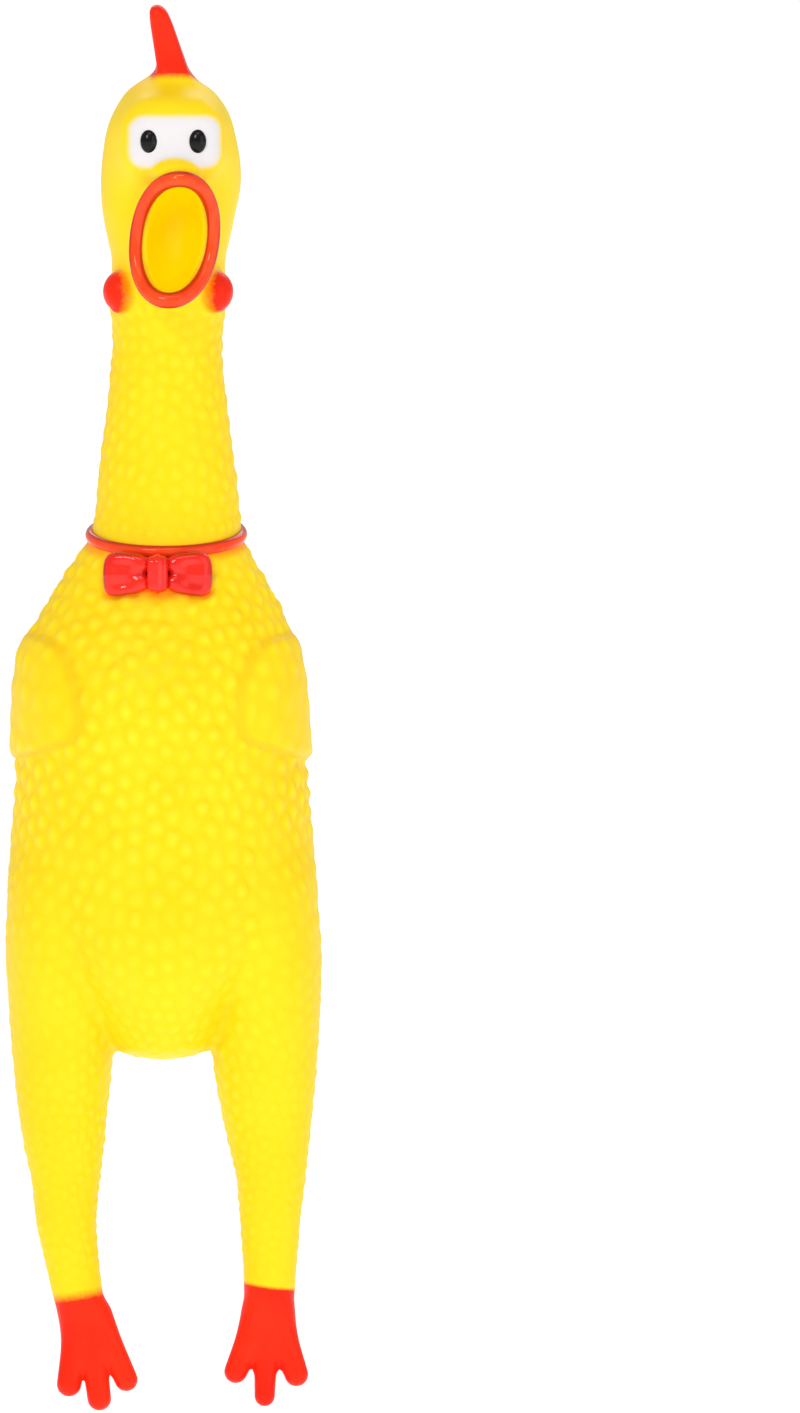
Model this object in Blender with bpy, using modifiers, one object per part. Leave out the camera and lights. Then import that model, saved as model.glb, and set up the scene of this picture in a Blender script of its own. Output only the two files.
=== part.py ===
"""A squeaking rubber chicken, 400 mm from comb to toes.

The chicken hangs by its body with its toes down and looks along -Y; +Z runs up the body to
the comb, and +X is the chicken's own left. The origin is the middle of the torso, where a hand
grips it. Its vinyl skin is one hollow moulding about 2 mm thick, divided here along the lines where
the soft skin bends: the neck in three places, both hips, both ankles, the comb's root and the belly,
which is pressed in to sound the squeaker plugged into the rump.

Lengths are written in millimetres and multiplied by MM.
"""

import math

import bmesh
import bpy
from mathutils import Matrix, Vector

MM = 0.001

# The skin
WALL = 2.0 * MM
GAP = 0.3 * MM  # between pieces that touch
SIDES = 20  # round a skin section

# Heights where the skin is divided, and the hinge lines between them
NECK_ROOT = (76.0 * MM, 90.0 * MM)
NECK_MIDDLE = (98.0 * MM, 112.0 * MM)
THROAT = (120.0 * MM, 134.0 * MM)
HIP = (-92.0 * MM, -78.0 * MM)
ANKLE = (-143.0 * MM, -134.0 * MM)
COMB_ROOT = 207.0 * MM

# The belly panel that is pressed in: half its width, its half height and its middle's height
BELLY_HALF_WIDTH = 25.0 * MM
BELLY_HALF_HEIGHT = 40.0 * MM
BELLY_HEIGHT = -6.0 * MM

# Collar, bow and face
COLLAR_HEIGHT = 71.0 * MM
COLLAR_RADIUS = 21.6 * MM
COLLAR_TUBE = 2.3 * MM
COLLAR_SLOPE = 0.12
BOW_CENTRE = Vector((-1.1, -37.0, 60.0)) * MM
HEAD_X = 2.5 * MM
MOUTH_HEIGHT = 157.0 * MM
LIP_HALF_WIDTH = 10.9 * MM
LIP_HALF_HEIGHT = 17.1 * MM
LIP_TUBE = 2.2 * MM
LINING = 1.0 * MM  # wall of the pocket behind the beak
LIP_ARC_CENTRE = (-58.5 * MM, 155.6 * MM)  # y and z of the arc that the open beak's edge follows
LIP_ARC_RADIUS = 20.5 * MM
EYE_SPREAD = 7.0 * MM
EYE_HEIGHT = 184.7 * MM
WATTLE_SPREAD = 13.2 * MM

# The squeaker in the rump
VENT = Vector((0.0, -4.0, 0.0)) * MM
FLANGE_FACE = -74.4 * MM
FLANGE_RADIUS = 9.0 * MM
FLANGE_THICK = 1.5 * MM
TUBE_RADIUS = 7.0 * MM
TUBE_BORE = 5.4 * MM
TUBE_TOP = -50.0 * MM
SOUND_HOLE = 3.6 * MM
AIR_HOLE = 2.4 * MM
BLOCK_FOOT = -70.5 * MM
BLOCK_TOP = -53.5 * MM
REED_TOP = -54.0 * MM
REED_FOOT = -66.0 * MM
REED_HINGE = -55.0 * MM

# Sections of the trunk from the rump to the top of the neck, in mm:
# height, middle x, half width, front y, back y
TRUNK = [
    (-75.5, 0.0, 5.0, -13.0, -1.0),
    (-74.0, 0.0, 12.0, -21.0, 5.5),
    (-69.0, 0.0, 21.0, -29.0, 13.5),
    (-60.0, 0.0, 33.0, -36.5, 24.0),
    (-48.0, 0.0, 41.5, -41.0, 34.0),
    (-36.0, 0.0, 43.0, -42.5, 39.5),
    (-20.0, 0.0, 43.2, -42.0, 41.8),
    (-3.0, 0.0, 42.0, -41.5, 39.5),
    (9.0, 0.0, 41.0, -42.5, 38.0),
    (20.0, 0.0, 40.5, -44.0, 35.5),
    (31.0, 0.0, 39.5, -44.0, 30.5),
    (43.0, 0.0, 37.0, -40.5, 23.0),
    (54.0, 0.2, 32.0, -35.5, 17.5),
    (65.0, 0.6, 25.5, -33.0, 13.5),
    (71.0, 0.8, 22.0, -31.9, 12.0),
    (77.0, 1.0, 20.8, -31.0, 10.6),
    (88.0, 1.0, 19.7, -30.6, 8.8),
    (100.0, 1.0, 18.1, -30.1, 6.2),
    (111.0, 1.0, 16.7, -29.6, 3.8),
    (122.0, 1.0, 15.7, -29.5, 1.9),
    (134.0, 1.2, 15.4, -30.3, 0.5),
    (146.0, 1.6, 14.0, -30.0, -1.0),
]

# Sections of the head, in the same terms
HEAD = [
    (130.0, 1.6, 12.0, -26.0, -4.0),
    (139.0, 1.8, 15.4, -32.5, 1.5),
    (151.0, 2.0, 15.9, -36.0, 3.5),
    (157.0, 1.8, 17.4, -36.5, 5.0),
    (163.0, 1.8, 18.6, -37.0, 6.2),
    (171.0, 2.2, 19.7, -38.0, 7.2),
    (180.0, 2.3, 19.4, -39.5, 6.6),
    (188.0, 2.1, 18.0, -40.0, 4.0),
    (194.0, 2.1, 15.2, -38.0, 0.5),
    (199.0, 2.2, 11.4, -29.0, -3.5),
    (203.0, 2.3, 5.0, -17.5, -8.0),
]

# Sections of each leg: height, middle x, middle y, half width, half depth
LEG_LEFT = [
    (-16.0, 26.0, -7.0, 9.0, 10.0),
    (-34.0, 28.8, -8.5, 14.0, 16.0),
    (-48.0, 29.3, -9.0, 15.2, 17.5),
    (-60.0, 29.2, -9.0, 15.4, 17.5),
    (-77.0, 29.1, -9.0, 14.6, 16.0),
    (-88.0, 29.5, -9.0, 13.3, 14.2),
    (-100.0, 30.2, -9.0, 11.4, 12.2),
    (-111.0, 30.8, -9.2, 9.6, 10.2),
    (-122.0, 30.6, -9.5, 8.5, 8.7),
    (-134.0, 30.5, -9.8, 7.6, 7.6),
    (-146.0, 30.2, -10.0, 7.0, 7.0),
    (-153.0, 29.9, -10.0, 6.6, 6.0),
]
LEG_RIGHT = [
    (-16.0, -26.0, -7.0, 9.0, 10.0),
    (-34.0, -28.8, -8.5, 14.0, 16.0),
    (-48.0, -29.3, -9.0, 15.2, 17.5),
    (-60.0, -29.0, -9.0, 15.3, 17.5),
    (-77.0, -28.8, -9.0, 14.2, 16.0),
    (-88.0, -28.8, -9.0, 12.8, 14.2),
    (-100.0, -28.4, -9.0, 11.4, 12.2),
    (-111.0, -27.9, -9.2, 9.6, 10.2),
    (-122.0, -27.4, -9.5, 8.5, 8.7),
    (-134.0, -25.7, -9.8, 7.6, 7.6),
    (-146.0, -23.5, -10.0, 7.0, 7.0),
    (-153.0, -21.8, -10.0, 6.6, 6.0),
]

# Toe tips under each ankle: x, y, z, and the toe's radius there
TOES_LEFT = [(20.3, -13.5, -166.0, 2.5), (28.9, -14.5, -173.0, 2.4), (37.6, -13.5, -166.0, 2.5)]
TOES_RIGHT = [(-25.8, -13.5, -169.0, 2.5), (-17.2, -14.5, -174.2, 2.4), (-9.0, -13.5, -167.5, 2.5)]

# Outline of the comb's fin seen from its side, y and z, from the front of its root round to the back
COMB = [
    (-30.0, 197.0),
    (-28.5, 206.0),
    (-29.5, 214.0),
    (-31.0, 220.5),
    (-27.5, 222.8),
    (-21.0, 221.5),
    (-14.0, 216.5),
    (-9.0, 211.5),
    (-5.0, 210.0),
    (-2.0, 205.0),
    (1.0, 197.0),
]

COLOURS = {
    "yellow_vinyl": ((1.0, 0.76, 0.02), 0.38),
    "red_vinyl": ((0.86, 0.05, 0.02), 0.32),
    "amber_vinyl": ((1.0, 0.5, 0.0), 0.4),
    "black_paint": ((0.01, 0.01, 0.012), 0.12),
    "white_plastic": ((0.85, 0.85, 0.82), 0.35),
    "clear_reed": ((0.75, 0.78, 0.8), 0.25),
}


# Scene and object helpers


def clear_scene():
    for obj in list(bpy.data.objects):
        bpy.data.objects.remove(obj, do_unlink=True)


def new_collection(name):
    collection = bpy.data.collections.new(name)
    bpy.context.scene.collection.children.link(collection)
    return collection


def new_material(name):
    colour, roughness = COLOURS[name]
    material = bpy.data.materials.new(name)
    material.use_nodes = True
    shader = material.node_tree.nodes["Principled BSDF"]
    shader.inputs["Base Color"].default_value = (*colour, 1.0)
    shader.inputs["Roughness"].default_value = roughness
    shader.inputs["Metallic"].default_value = 0.0
    material.diffuse_color = (*colour, 1.0)
    return material


def guide(obj):
    """Puts an object among the cutters, out of the model."""
    for collection in list(obj.users_collection):
        collection.objects.unlink(obj)
    CUTTERS.objects.link(obj)
    obj.hide_render = True
    obj.display_type = "WIRE"
    return obj


def piece(obj, material):
    """Puts an object among the chicken's parts, with its material and smooth faces."""
    for collection in list(obj.users_collection):
        collection.objects.unlink(obj)
    PARTS.objects.link(obj)
    obj.hide_render = False
    obj.display_type = "TEXTURED"
    obj.data.materials.clear()
    obj.data.materials.append(MATERIALS[material])
    obj.data.shade_smooth()
    obj.data.set_sharp_from_angle(angle=math.radians(50))
    return obj


def from_bmesh(name, bm):
    bmesh.ops.recalc_face_normals(bm, faces=bm.faces)
    mesh = bpy.data.meshes.new(name)
    bm.to_mesh(mesh)
    bm.free()
    obj = bpy.data.objects.new(name, mesh)
    CUTTERS.objects.link(obj)
    return guide(obj)


def frozen(obj, name):
    """A new plain mesh of an object with its modifiers or its curve worked out."""
    bpy.context.view_layer.update()
    graph = bpy.context.evaluated_depsgraph_get()
    mesh = bpy.data.meshes.new_from_object(obj.evaluated_get(graph))
    bm = bmesh.new()
    bm.from_mesh(mesh)
    bmesh.ops.remove_doubles(bm, verts=bm.verts, dist=1e-6)
    bm.to_mesh(mesh)
    bm.free()
    made = bpy.data.objects.new(name, mesh)
    CUTTERS.objects.link(made)
    made.matrix_world = obj.matrix_world.copy()
    bpy.data.objects.remove(obj, do_unlink=True)
    made.name = name
    return guide(made)


def twin(obj, name):
    copy = obj.copy()
    copy.data = obj.data.copy()
    copy.name = name
    CUTTERS.objects.link(copy)
    return guide(copy)


def boolean(obj, other, operation, solver="EXACT"):
    modifier = obj.modifiers.new(f"{operation.lower()} {other.name}", "BOOLEAN")
    modifier.operation = operation
    modifier.solver = solver
    modifier.object = other
    return obj


# Shapes


def loft(name, sections):
    """A closed skin form through level oval sections, bridged from each to the next."""
    bm = bmesh.new()
    rings = []
    for height, middle_x, half_width, front, back in sections:
        ring = bmesh.ops.create_circle(bm, segments=SIDES, radius=1.0)["verts"]
        middle_y = (front + back) / 2
        half_depth = (back - front) / 2
        for vert in ring:
            x, y, _ = vert.co
            place = (middle_x + half_width * x, middle_y + half_depth * y, height)
            vert.co = Vector(place) * MM
        rings.append({edge for vert in ring for edge in vert.link_edges})
    for below, above in zip(rings, rings[1:]):
        bmesh.ops.bridge_loops(bm, edges=list(below | above))
    bmesh.ops.holes_fill(bm, edges=[edge for edge in bm.edges if edge.is_boundary])
    return from_bmesh(name, bm)


def leg_sections(leg):
    return [(z, x, a, y - b, y + b) for z, x, y, a, b in leg]


def ball(name, centre, radii, segments=20):
    """An ellipsoid."""
    bm = bmesh.new()
    bmesh.ops.create_uvsphere(bm, u_segments=segments, v_segments=segments // 2, radius=1.0)
    bmesh.ops.transform(bm, matrix=Matrix.Diagonal((*radii, 1.0)), verts=bm.verts)
    bmesh.ops.translate(bm, vec=centre, verts=bm.verts)
    return from_bmesh(name, bm)


def block(name, low, high):
    bm = bmesh.new()
    bmesh.ops.create_cube(bm, size=1.0)
    low = Vector(low)
    high = Vector(high)
    bmesh.ops.scale(bm, vec=high - low, verts=bm.verts)
    bmesh.ops.translate(bm, vec=(low + high) / 2, verts=bm.verts)
    return from_bmesh(name, bm)


def cylinder(name, centre, radius, foot, top, segments=32):
    """A round bar along Z from one height to another."""
    bm = bmesh.new()
    depth = top - foot
    bmesh.ops.create_cone(
        bm, cap_ends=True, segments=segments, radius1=radius, radius2=radius, depth=depth
    )
    bmesh.ops.translate(bm, vec=(centre.x, centre.y, foot + depth / 2), verts=bm.verts)
    return from_bmesh(name, bm)


def turned(name, profile, centre):
    """A solid of revolution about Z, from a closed profile of (radius, height) points.

    The profile runs down its outer side, which keeps the faces pointing out.
    """
    bm = bmesh.new()
    verts = [bm.verts.new((radius, 0.0, height)) for radius, height in profile]
    for first, second in zip(verts, verts[1:] + verts[:1]):
        bm.edges.new((first, second))
    mesh = bpy.data.meshes.new(name)
    bm.to_mesh(mesh)
    bm.free()
    obj = bpy.data.objects.new(name, mesh)
    CUTTERS.objects.link(obj)
    obj.location = centre
    screw = obj.modifiers.new("turn", "SCREW")
    screw.steps = 32
    screw.render_steps = 32
    screw.use_merge_vertices = True
    screw.merge_threshold = 1e-6
    return frozen(obj, name)


def tube(name, points, radius, closed=False, resolution=2):
    """A round bar through points, which may each carry a share of the radius."""
    curve = bpy.data.curves.new(name, "CURVE")
    curve.dimensions = "3D"
    curve.bevel_depth = radius
    curve.bevel_resolution = resolution
    curve.use_fill_caps = not closed
    spline = curve.splines.new("POLY")
    spline.points.add(len(points) - 1)
    for spot, (x, y, z, share) in zip(spline.points, points):
        spot.co = (x, y, z, 1.0)
        spot.radius = share
    spline.use_cyclic_u = closed
    obj = bpy.data.objects.new(name, curve)
    CUTTERS.objects.link(obj)
    return frozen(obj, name)


def offset(obj, name, distance):
    """A copy of a closed form grown or shrunk along its normals."""
    copy = twin(obj, name)
    if distance:
        displace = copy.modifiers.new("offset", "DISPLACE")
        displace.direction = "NORMAL"
        displace.mid_level = 0.0
        displace.strength = distance
        return frozen(copy, name)
    return copy


def joined(name, forms):
    """One solid from several that overlap."""
    whole = twin(forms[0], name)
    for other in forms[1:]:
        boolean(whole, other, "UNION")
    return frozen(whole, name)


def skin_form(name, distance):
    """The chicken's whole outer form, grown or shrunk by a distance."""
    grown = [offset(form, f"{name}_{form.name}", distance) for form in FORMS]
    whole = joined(name, grown)
    for form in grown:
        bpy.data.objects.remove(form, do_unlink=True)
    return whole


def slab(name, low, high, side=0):
    """A block across the whole chicken between two heights, or across one side of it."""
    reach = 0.12
    left = 0.0 if side > 0 else -reach
    right = 0.0 if side < 0 else reach
    return block(name, (left, -reach, low), (right, reach, high))


def skin_between(name, low, high, side=0):
    """The stretch of the moulded skin between two heights."""
    stretch = twin(MOULDING, name)
    boolean(stretch, slab(f"{name}_slab", low, high, side), "INTERSECT")
    return piece(stretch, "yellow_vinyl")


def on_skin(obj, material):
    """A moulded feature that stands on the skin: what lies under the skin's surface is cut away."""
    boolean(obj, SKIN_CLEARANCE, "DIFFERENCE")
    return piece(obj, material)


# The skin's forms


def muzzle_form():
    """The open beak: an oval tube along Y, its front edge hollowed to an arc seen from the side."""
    bm = bmesh.new()
    rings = []
    for y, grow in ((-18.0, 0.7), (-30.0, 1.0), (-62.0, 1.0)):
        ring = bmesh.ops.create_circle(bm, segments=SIDES, radius=1.0)["verts"]
        for vert in ring:
            x, z, _ = vert.co
            vert.co = Vector(
                (
                    HEAD_X + (LIP_HALF_WIDTH + 1.2 * MM) * grow * x,
                    y * MM,
                    MOUTH_HEIGHT + (LIP_HALF_HEIGHT + 1.2 * MM) * grow * z,
                )
            )
        rings.append({edge for vert in ring for edge in vert.link_edges})
    for behind, before in zip(rings, rings[1:]):
        bmesh.ops.bridge_loops(bm, edges=list(behind | before))
    bmesh.ops.holes_fill(bm, edges=[edge for edge in bm.edges if edge.is_boundary])
    muzzle = from_bmesh("muzzle", bm)
    arc = cylinder("muzzle_arc", Vector((0, 0, 0)), LIP_ARC_RADIUS, -40 * MM, 40 * MM, 40)
    y, z = LIP_ARC_CENTRE
    arc.data.transform(Matrix.Translation((0, y, z)) @ Matrix.Rotation(math.pi / 2, 4, "Y"))
    boolean(muzzle, arc, "DIFFERENCE")
    beyond = block("muzzle_beyond", (-40 * MM, -80 * MM, 120 * MM), (40 * MM, -56 * MM, 190 * MM))
    boolean(muzzle, beyond, "DIFFERENCE")
    muzzle = frozen(muzzle, "muzzle")
    bpy.data.objects.remove(arc, do_unlink=True)
    bpy.data.objects.remove(beyond, do_unlink=True)
    return muzzle


def mouth_form(name, grow):
    """The pocket behind the open beak."""
    centre = Vector((HEAD_X, -52.0 * MM, MOUTH_HEIGHT))
    radii = Vector((9.2, 25.0, 15.2)) * MM + Vector((grow, grow, grow))
    return ball(name, centre, radii, 20)


def brow_form():
    """The block under the brow that carries both eyes."""
    bm = bmesh.new()
    bmesh.ops.create_cube(bm, size=2.0)
    bmesh.ops.scale(bm, vec=Vector((14.0, 15.0, 12.5)) * MM, verts=bm.verts)
    bmesh.ops.translate(bm, vec=Vector((3.0, -31.0, 186.0)) * MM, verts=bm.verts)
    form = from_bmesh("brow", bm)
    soften = form.modifiers.new("soften", "SUBSURF")
    soften.levels = 2
    soften.render_levels = 2
    return frozen(form, "brow")


# Pieces on the skin


def lip_path():
    """Points round the open beak's edge."""
    points = []
    arc_y, arc_z = LIP_ARC_CENTRE
    for step in range(32):
        angle = math.tau * step / 32
        x = HEAD_X + LIP_HALF_WIDTH * math.sin(angle)
        z = MOUTH_HEIGHT + LIP_HALF_HEIGHT * math.cos(angle)
        reach = math.sqrt(max(LIP_ARC_RADIUS**2 - (z - arc_z) ** 2, 0.0))
        points.append((x, arc_y + reach - 0.4 * MM, z, 1.0))
    return points


def make_beak():
    lips = tube("beak_lips", lip_path(), LIP_TUBE, closed=True, resolution=2)
    boolean(lips, SKIN_CLEARANCE, "DIFFERENCE")
    piece(lips, "red_vinyl")
    lining = mouth_form("mouth_lining", LINING)
    boolean(lining, mouth_form("mouth_pocket", 0.0), "DIFFERENCE")
    boolean(lining, skin_form("mouth_trim", -0.05 * MM), "INTERSECT")
    piece(lining, "amber_vinyl")


def make_eyes():
    for side, x in (("left", 1), ("right", -1)):
        centre = Vector((3.1 * MM + x * EYE_SPREAD, -43.9 * MM, EYE_HEIGHT))
        on_skin(ball(f"eye_{side}", centre, Vector((2.15, 3.4, 3.15)) * MM, 12), "black_paint")


def make_wattles():
    for side, x in (("left", 1), ("right", -1)):
        centre = Vector((HEAD_X - 0.5 * MM + x * WATTLE_SPREAD, -26.5 * MM, 141.5 * MM))
        radii = Vector((5.2, 6.6, 6.4)) * MM
        on_skin(ball(f"wattle_{side}", centre, radii, 14), "red_vinyl")


def comb_blank(name):
    """The whole fin, root included: its outline extruded, then thinned towards its tip."""
    curve = bpy.data.curves.new(name, "CURVE")
    curve.dimensions = "2D"
    curve.fill_mode = "BOTH"
    curve.extrude = 5.0 * MM
    spline = curve.splines.new("POLY")
    spline.points.add(len(COMB) - 1)
    for spot, (y, z) in zip(spline.points, COMB):
        spot.co = (y * MM, z * MM, 0.0, 1.0)
    spline.use_cyclic_u = True
    obj = bpy.data.objects.new(name, curve)
    CUTTERS.objects.link(obj)
    # The curve's own X, Y and Z become the chicken's Y, Z and X.
    obj.matrix_world = Matrix(((0, 0, 1, 0), (1, 0, 0, 0), (0, 1, 0, 0), (0, 0, 0, 1)))
    fin = frozen(obj, name)
    fin.data.transform(fin.matrix_world)
    fin.matrix_world = Matrix.Identity(4)
    root, tip = 200.0 * MM, 223.0 * MM
    for vert in fin.data.vertices:
        rise = min(max((vert.co.z - root) / (tip - root), 0.0), 1.0)
        vert.co.x = vert.co.x * (1.0 - 0.5 * rise) + (2.3 - 3.2 * rise) * MM
    bevel = fin.modifiers.new("round", "BEVEL")
    bevel.width = 1.4 * MM
    bevel.segments = 2
    bevel.limit_method = "ANGLE"
    bevel.angle_limit = math.radians(60)
    return frozen(fin, name)


def make_comb():
    fin = comb_blank("comb_whole")
    for name, low, high in (
        ("comb_root", 190 * MM, COMB_ROOT - GAP),
        ("comb", COMB_ROOT, 240 * MM),
    ):
        part = twin(fin, name)
        boolean(part, slab(f"{name}_slab", low, high), "INTERSECT")
        on_skin(part, "red_vinyl")


def collar_height(y):
    """The collar hangs lower at the throat than at the nape."""
    middle = -10.0 * MM
    return COLLAR_HEIGHT + COLLAR_SLOPE * (y - middle)


def make_collar():
    points = []
    for step in range(SIDES):
        angle = math.tau * step / SIDES
        x = 0.8 * MM + COLLAR_RADIUS * math.cos(angle)
        y = -10.0 * MM + COLLAR_RADIUS * math.sin(angle)
        points.append((x, y, collar_height(y), 1.0))
    on_skin(tube("collar_band", points, COLLAR_TUBE, closed=True, resolution=2), "red_vinyl")


def bow_loop(side_name, side):
    """One loop of the bow: a flat pad that widens away from the knot."""
    bm = bmesh.new()
    bmesh.ops.create_cube(bm, size=2.0)
    bmesh.ops.subdivide_edges(bm, edges=bm.edges, cuts=1, use_grid_fill=True)
    for vert in bm.verts:
        outward = (vert.co.x + 1.0) / 2
        vert.co.z *= (3.0 + 4.2 * outward) * MM
        vert.co.y *= (2.6 + 1.0 * outward) * MM
        vert.co.x = (3.2 + 14.0 * outward) * side * MM
        vert.co.y += 1.4 * MM * outward
        vert.co += BOW_CENTRE
    loop = from_bmesh(f"bow_loop_{side_name}", bm)
    soften = loop.modifiers.new("soften", "SUBSURF")
    soften.levels = 1
    soften.render_levels = 1
    return loop


def make_bow():
    knot = ball("bow_knot", BOW_CENTRE + Vector((0, -0.6, 0)) * MM, Vector((3.4, 4.4, 4.6)) * MM, 16)
    knot_room = ball(
        "bow_knot_room", BOW_CENTRE + Vector((0, -0.6, 0)) * MM, Vector((3.8, 4.8, 5.0)) * MM, 16
    )
    collar_room = offset(bpy.data.objects["collar_band"], "collar_room", 0.0)
    collar_room.modifiers.clear()
    grow = collar_room.modifiers.new("offset", "DISPLACE")
    grow.mid_level = 0.0
    grow.strength = GAP
    for side_name, side in (("left", 1), ("right", -1)):
        loop = bow_loop(side_name, side)
        boolean(loop, knot_room, "DIFFERENCE")
        boolean(loop, collar_room, "DIFFERENCE")
        on_skin(loop, "red_vinyl")
    boolean(knot, collar_room, "DIFFERENCE")
    on_skin(knot, "red_vinyl")


def make_wings():
    """Low pads folded against the body's sides."""
    for side_name, side in (("left", 1), ("right", -1)):
        centre = Vector((side * 33.5, -8.0, 22.0)) * MM
        wing = ball(f"wing_{side_name}", centre, Vector((9.8, 25.0, 19.5)) * MM, 20)
        on_skin(wing, "yellow_vinyl")


def make_foot(side_name, leg, toes):
    """An ankle that spreads into three toes, moulded solid."""
    ankle_x, ankle_y = leg[-2][1], leg[-2][2]
    foot = loft(f"foot_{side_name}", leg_sections(leg[-3:]))
    palm_x = (ankle_x + toes[1][0]) / 2
    palm_middle = Vector((palm_x, ankle_y - 1.0, -155.0)) * MM
    palm = ball(f"palm_{side_name}", palm_middle, Vector((9.0, 5.4, 8.5)) * MM, 16)
    boolean(foot, palm, "UNION")
    for number, (x, y, z, radius) in enumerate(toes):
        start = Vector((ankle_x + (x - ankle_x) * 0.25, ankle_y - 0.5, -151.0 - 0.1 * number))
        end = Vector((x, y, z))
        points = []
        for step, share in ((0.0, 1.5), (0.4, 1.45), (0.8, 1.15), (1.0, 1.0)):
            points.append((*(start.lerp(end, step) * MM), share))
        tip = end + (end - start).normalized() * radius * 0.7
        points.append((*(tip * MM), 0.45))
        toe = tube(f"toe_{side_name}_{number}", points, radius * MM, resolution=2)
        boolean(foot, toe, "UNION")
    boolean(foot, slab(f"foot_{side_name}_slab", -0.2, ANKLE[0] - GAP), "INTERSECT")
    return piece(foot, "red_vinyl")


# The squeaker


def make_squeaker():
    flange_top = FLANGE_FACE + FLANGE_THICK
    bore_foot = flange_top + 1.2 * MM
    housing = turned(
        "squeaker_housing",
        [
            (TUBE_RADIUS, TUBE_TOP),
            (TUBE_RADIUS, flange_top),
            (FLANGE_RADIUS, flange_top),
            (FLANGE_RADIUS, FLANGE_FACE),
            (SOUND_HOLE, FLANGE_FACE),
            (SOUND_HOLE, bore_foot),
            (TUBE_BORE, bore_foot),
            (TUBE_BORE, TUBE_TOP),
        ],
        VENT,
    )
    piece(housing, "white_plastic")

    block_radius = TUBE_BORE - GAP
    reed_block = cylinder("reed_block", VENT, block_radius, BLOCK_FOOT, BLOCK_FOOT + 3 * MM)
    bar_low = (VENT.x - 2.6 * MM, VENT.y, BLOCK_FOOT + 2 * MM)
    bar_high = (VENT.x + 2.6 * MM, VENT.y + 3.2 * MM, BLOCK_TOP)
    boolean(reed_block, block("reed_bar", bar_low, bar_high), "UNION")
    slot_low = (VENT.x - 1.3 * MM, VENT.y - 1.0 * MM, BLOCK_FOOT - 1 * MM)
    slot_high = (VENT.x + 1.3 * MM, VENT.y + 2.0 * MM, REED_HINGE - 2.5 * MM)
    boolean(reed_block, block("reed_slot", slot_low, slot_high), "DIFFERENCE")
    piece(reed_block, "white_plastic")

    reed_back = VENT.y - GAP
    reed_low = (VENT.x - 2.1 * MM, reed_back - 0.4 * MM, REED_FOOT)
    reed = block("reed_tongue", reed_low, (VENT.x + 2.1 * MM, reed_back, REED_TOP))
    piece(reed, "clear_reed")

    wedge_back = reed_back - 0.4 * MM - GAP
    wedge_low = (VENT.x - 2.4 * MM, wedge_back - 1.6 * MM, REED_HINGE - 1.0 * MM)
    piece(block("reed_clamp", wedge_low, (VENT.x + 2.4 * MM, wedge_back, REED_TOP)), "white_plastic")

    cap = turned(
        "squeaker_cap",
        [
            (TUBE_RADIUS, TUBE_TOP + 2.0 * MM),
            (TUBE_RADIUS, TUBE_TOP + GAP),
            (AIR_HOLE, TUBE_TOP + GAP),
            (AIR_HOLE, TUBE_TOP + 2.0 * MM),
        ],
        VENT,
    )
    piece(cap, "white_plastic")


# The skin's pieces


def belly_prism(name, grow):
    """An oval bar along Y through the front of the body."""
    bm = bmesh.new()
    bmesh.ops.create_cone(
        bm, cap_ends=True, segments=32, radius1=1.0, radius2=1.0, depth=60 * MM
    )
    bmesh.ops.rotate(bm, matrix=Matrix.Rotation(math.pi / 2, 3, "X"), verts=bm.verts)
    width = BELLY_HALF_WIDTH + grow
    height = BELLY_HALF_HEIGHT + grow
    bmesh.ops.scale(bm, vec=(width, 1.0, height), verts=bm.verts)
    bmesh.ops.translate(bm, vec=(0, -40 * MM, BELLY_HEIGHT), verts=bm.verts)
    return from_bmesh(name, bm)


def make_torso():
    torso = skin_between("torso_skin", HIP[1], NECK_ROOT[0] - GAP)
    boolean(torso, belly_prism("belly_hole", GAP), "DIFFERENCE")
    boss = cylinder("vent_boss", VENT, 11.5 * MM, FLANGE_FACE + 1.7 * MM, -67.5 * MM)
    boolean(torso, boss, "UNION")
    pocket = cylinder("vent_pocket", VENT, FLANGE_RADIUS + GAP, -90 * MM, FLANGE_FACE + FLANGE_THICK + GAP)
    boolean(torso, pocket, "DIFFERENCE")
    boolean(torso, cylinder("vent_hole", VENT, TUBE_RADIUS + GAP, -90 * MM, -60 * MM), "DIFFERENCE")
    belly = twin(MOULDING, "belly_panel")
    boolean(belly, belly_prism("belly_cut", 0.0), "INTERSECT")
    piece(belly, "yellow_vinyl")


def make_neck():
    skin_between("neck_root_flex", NECK_ROOT[0], NECK_ROOT[1] - GAP)
    skin_between("neck_skin_lower", NECK_ROOT[1], NECK_MIDDLE[0] - GAP)
    skin_between("neck_middle_flex", NECK_MIDDLE[0], NECK_MIDDLE[1] - GAP)
    skin_between("neck_skin_upper", NECK_MIDDLE[1], THROAT[0] - GAP)
    skin_between("throat_flex", THROAT[0], THROAT[1] - GAP)
    head = skin_between("head_skin", THROAT[1], 0.23)
    boolean(head, mouth_form("mouth_hole", LINING + GAP), "DIFFERENCE")


def make_legs():
    for side_name, side, leg, toes in (
        ("left", 1, LEG_LEFT, TOES_LEFT),
        ("right", -1, LEG_RIGHT, TOES_RIGHT),
    ):
        skin_between(f"hip_flex_{side_name}", HIP[0] + GAP, HIP[1] - GAP, side)
        skin_between(f"leg_skin_{side_name}", ANKLE[1] + GAP, HIP[0], side)
        skin_between(f"ankle_flex_{side_name}", ANKLE[0], ANKLE[1], side)
        make_foot(side_name, leg, toes)


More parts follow.
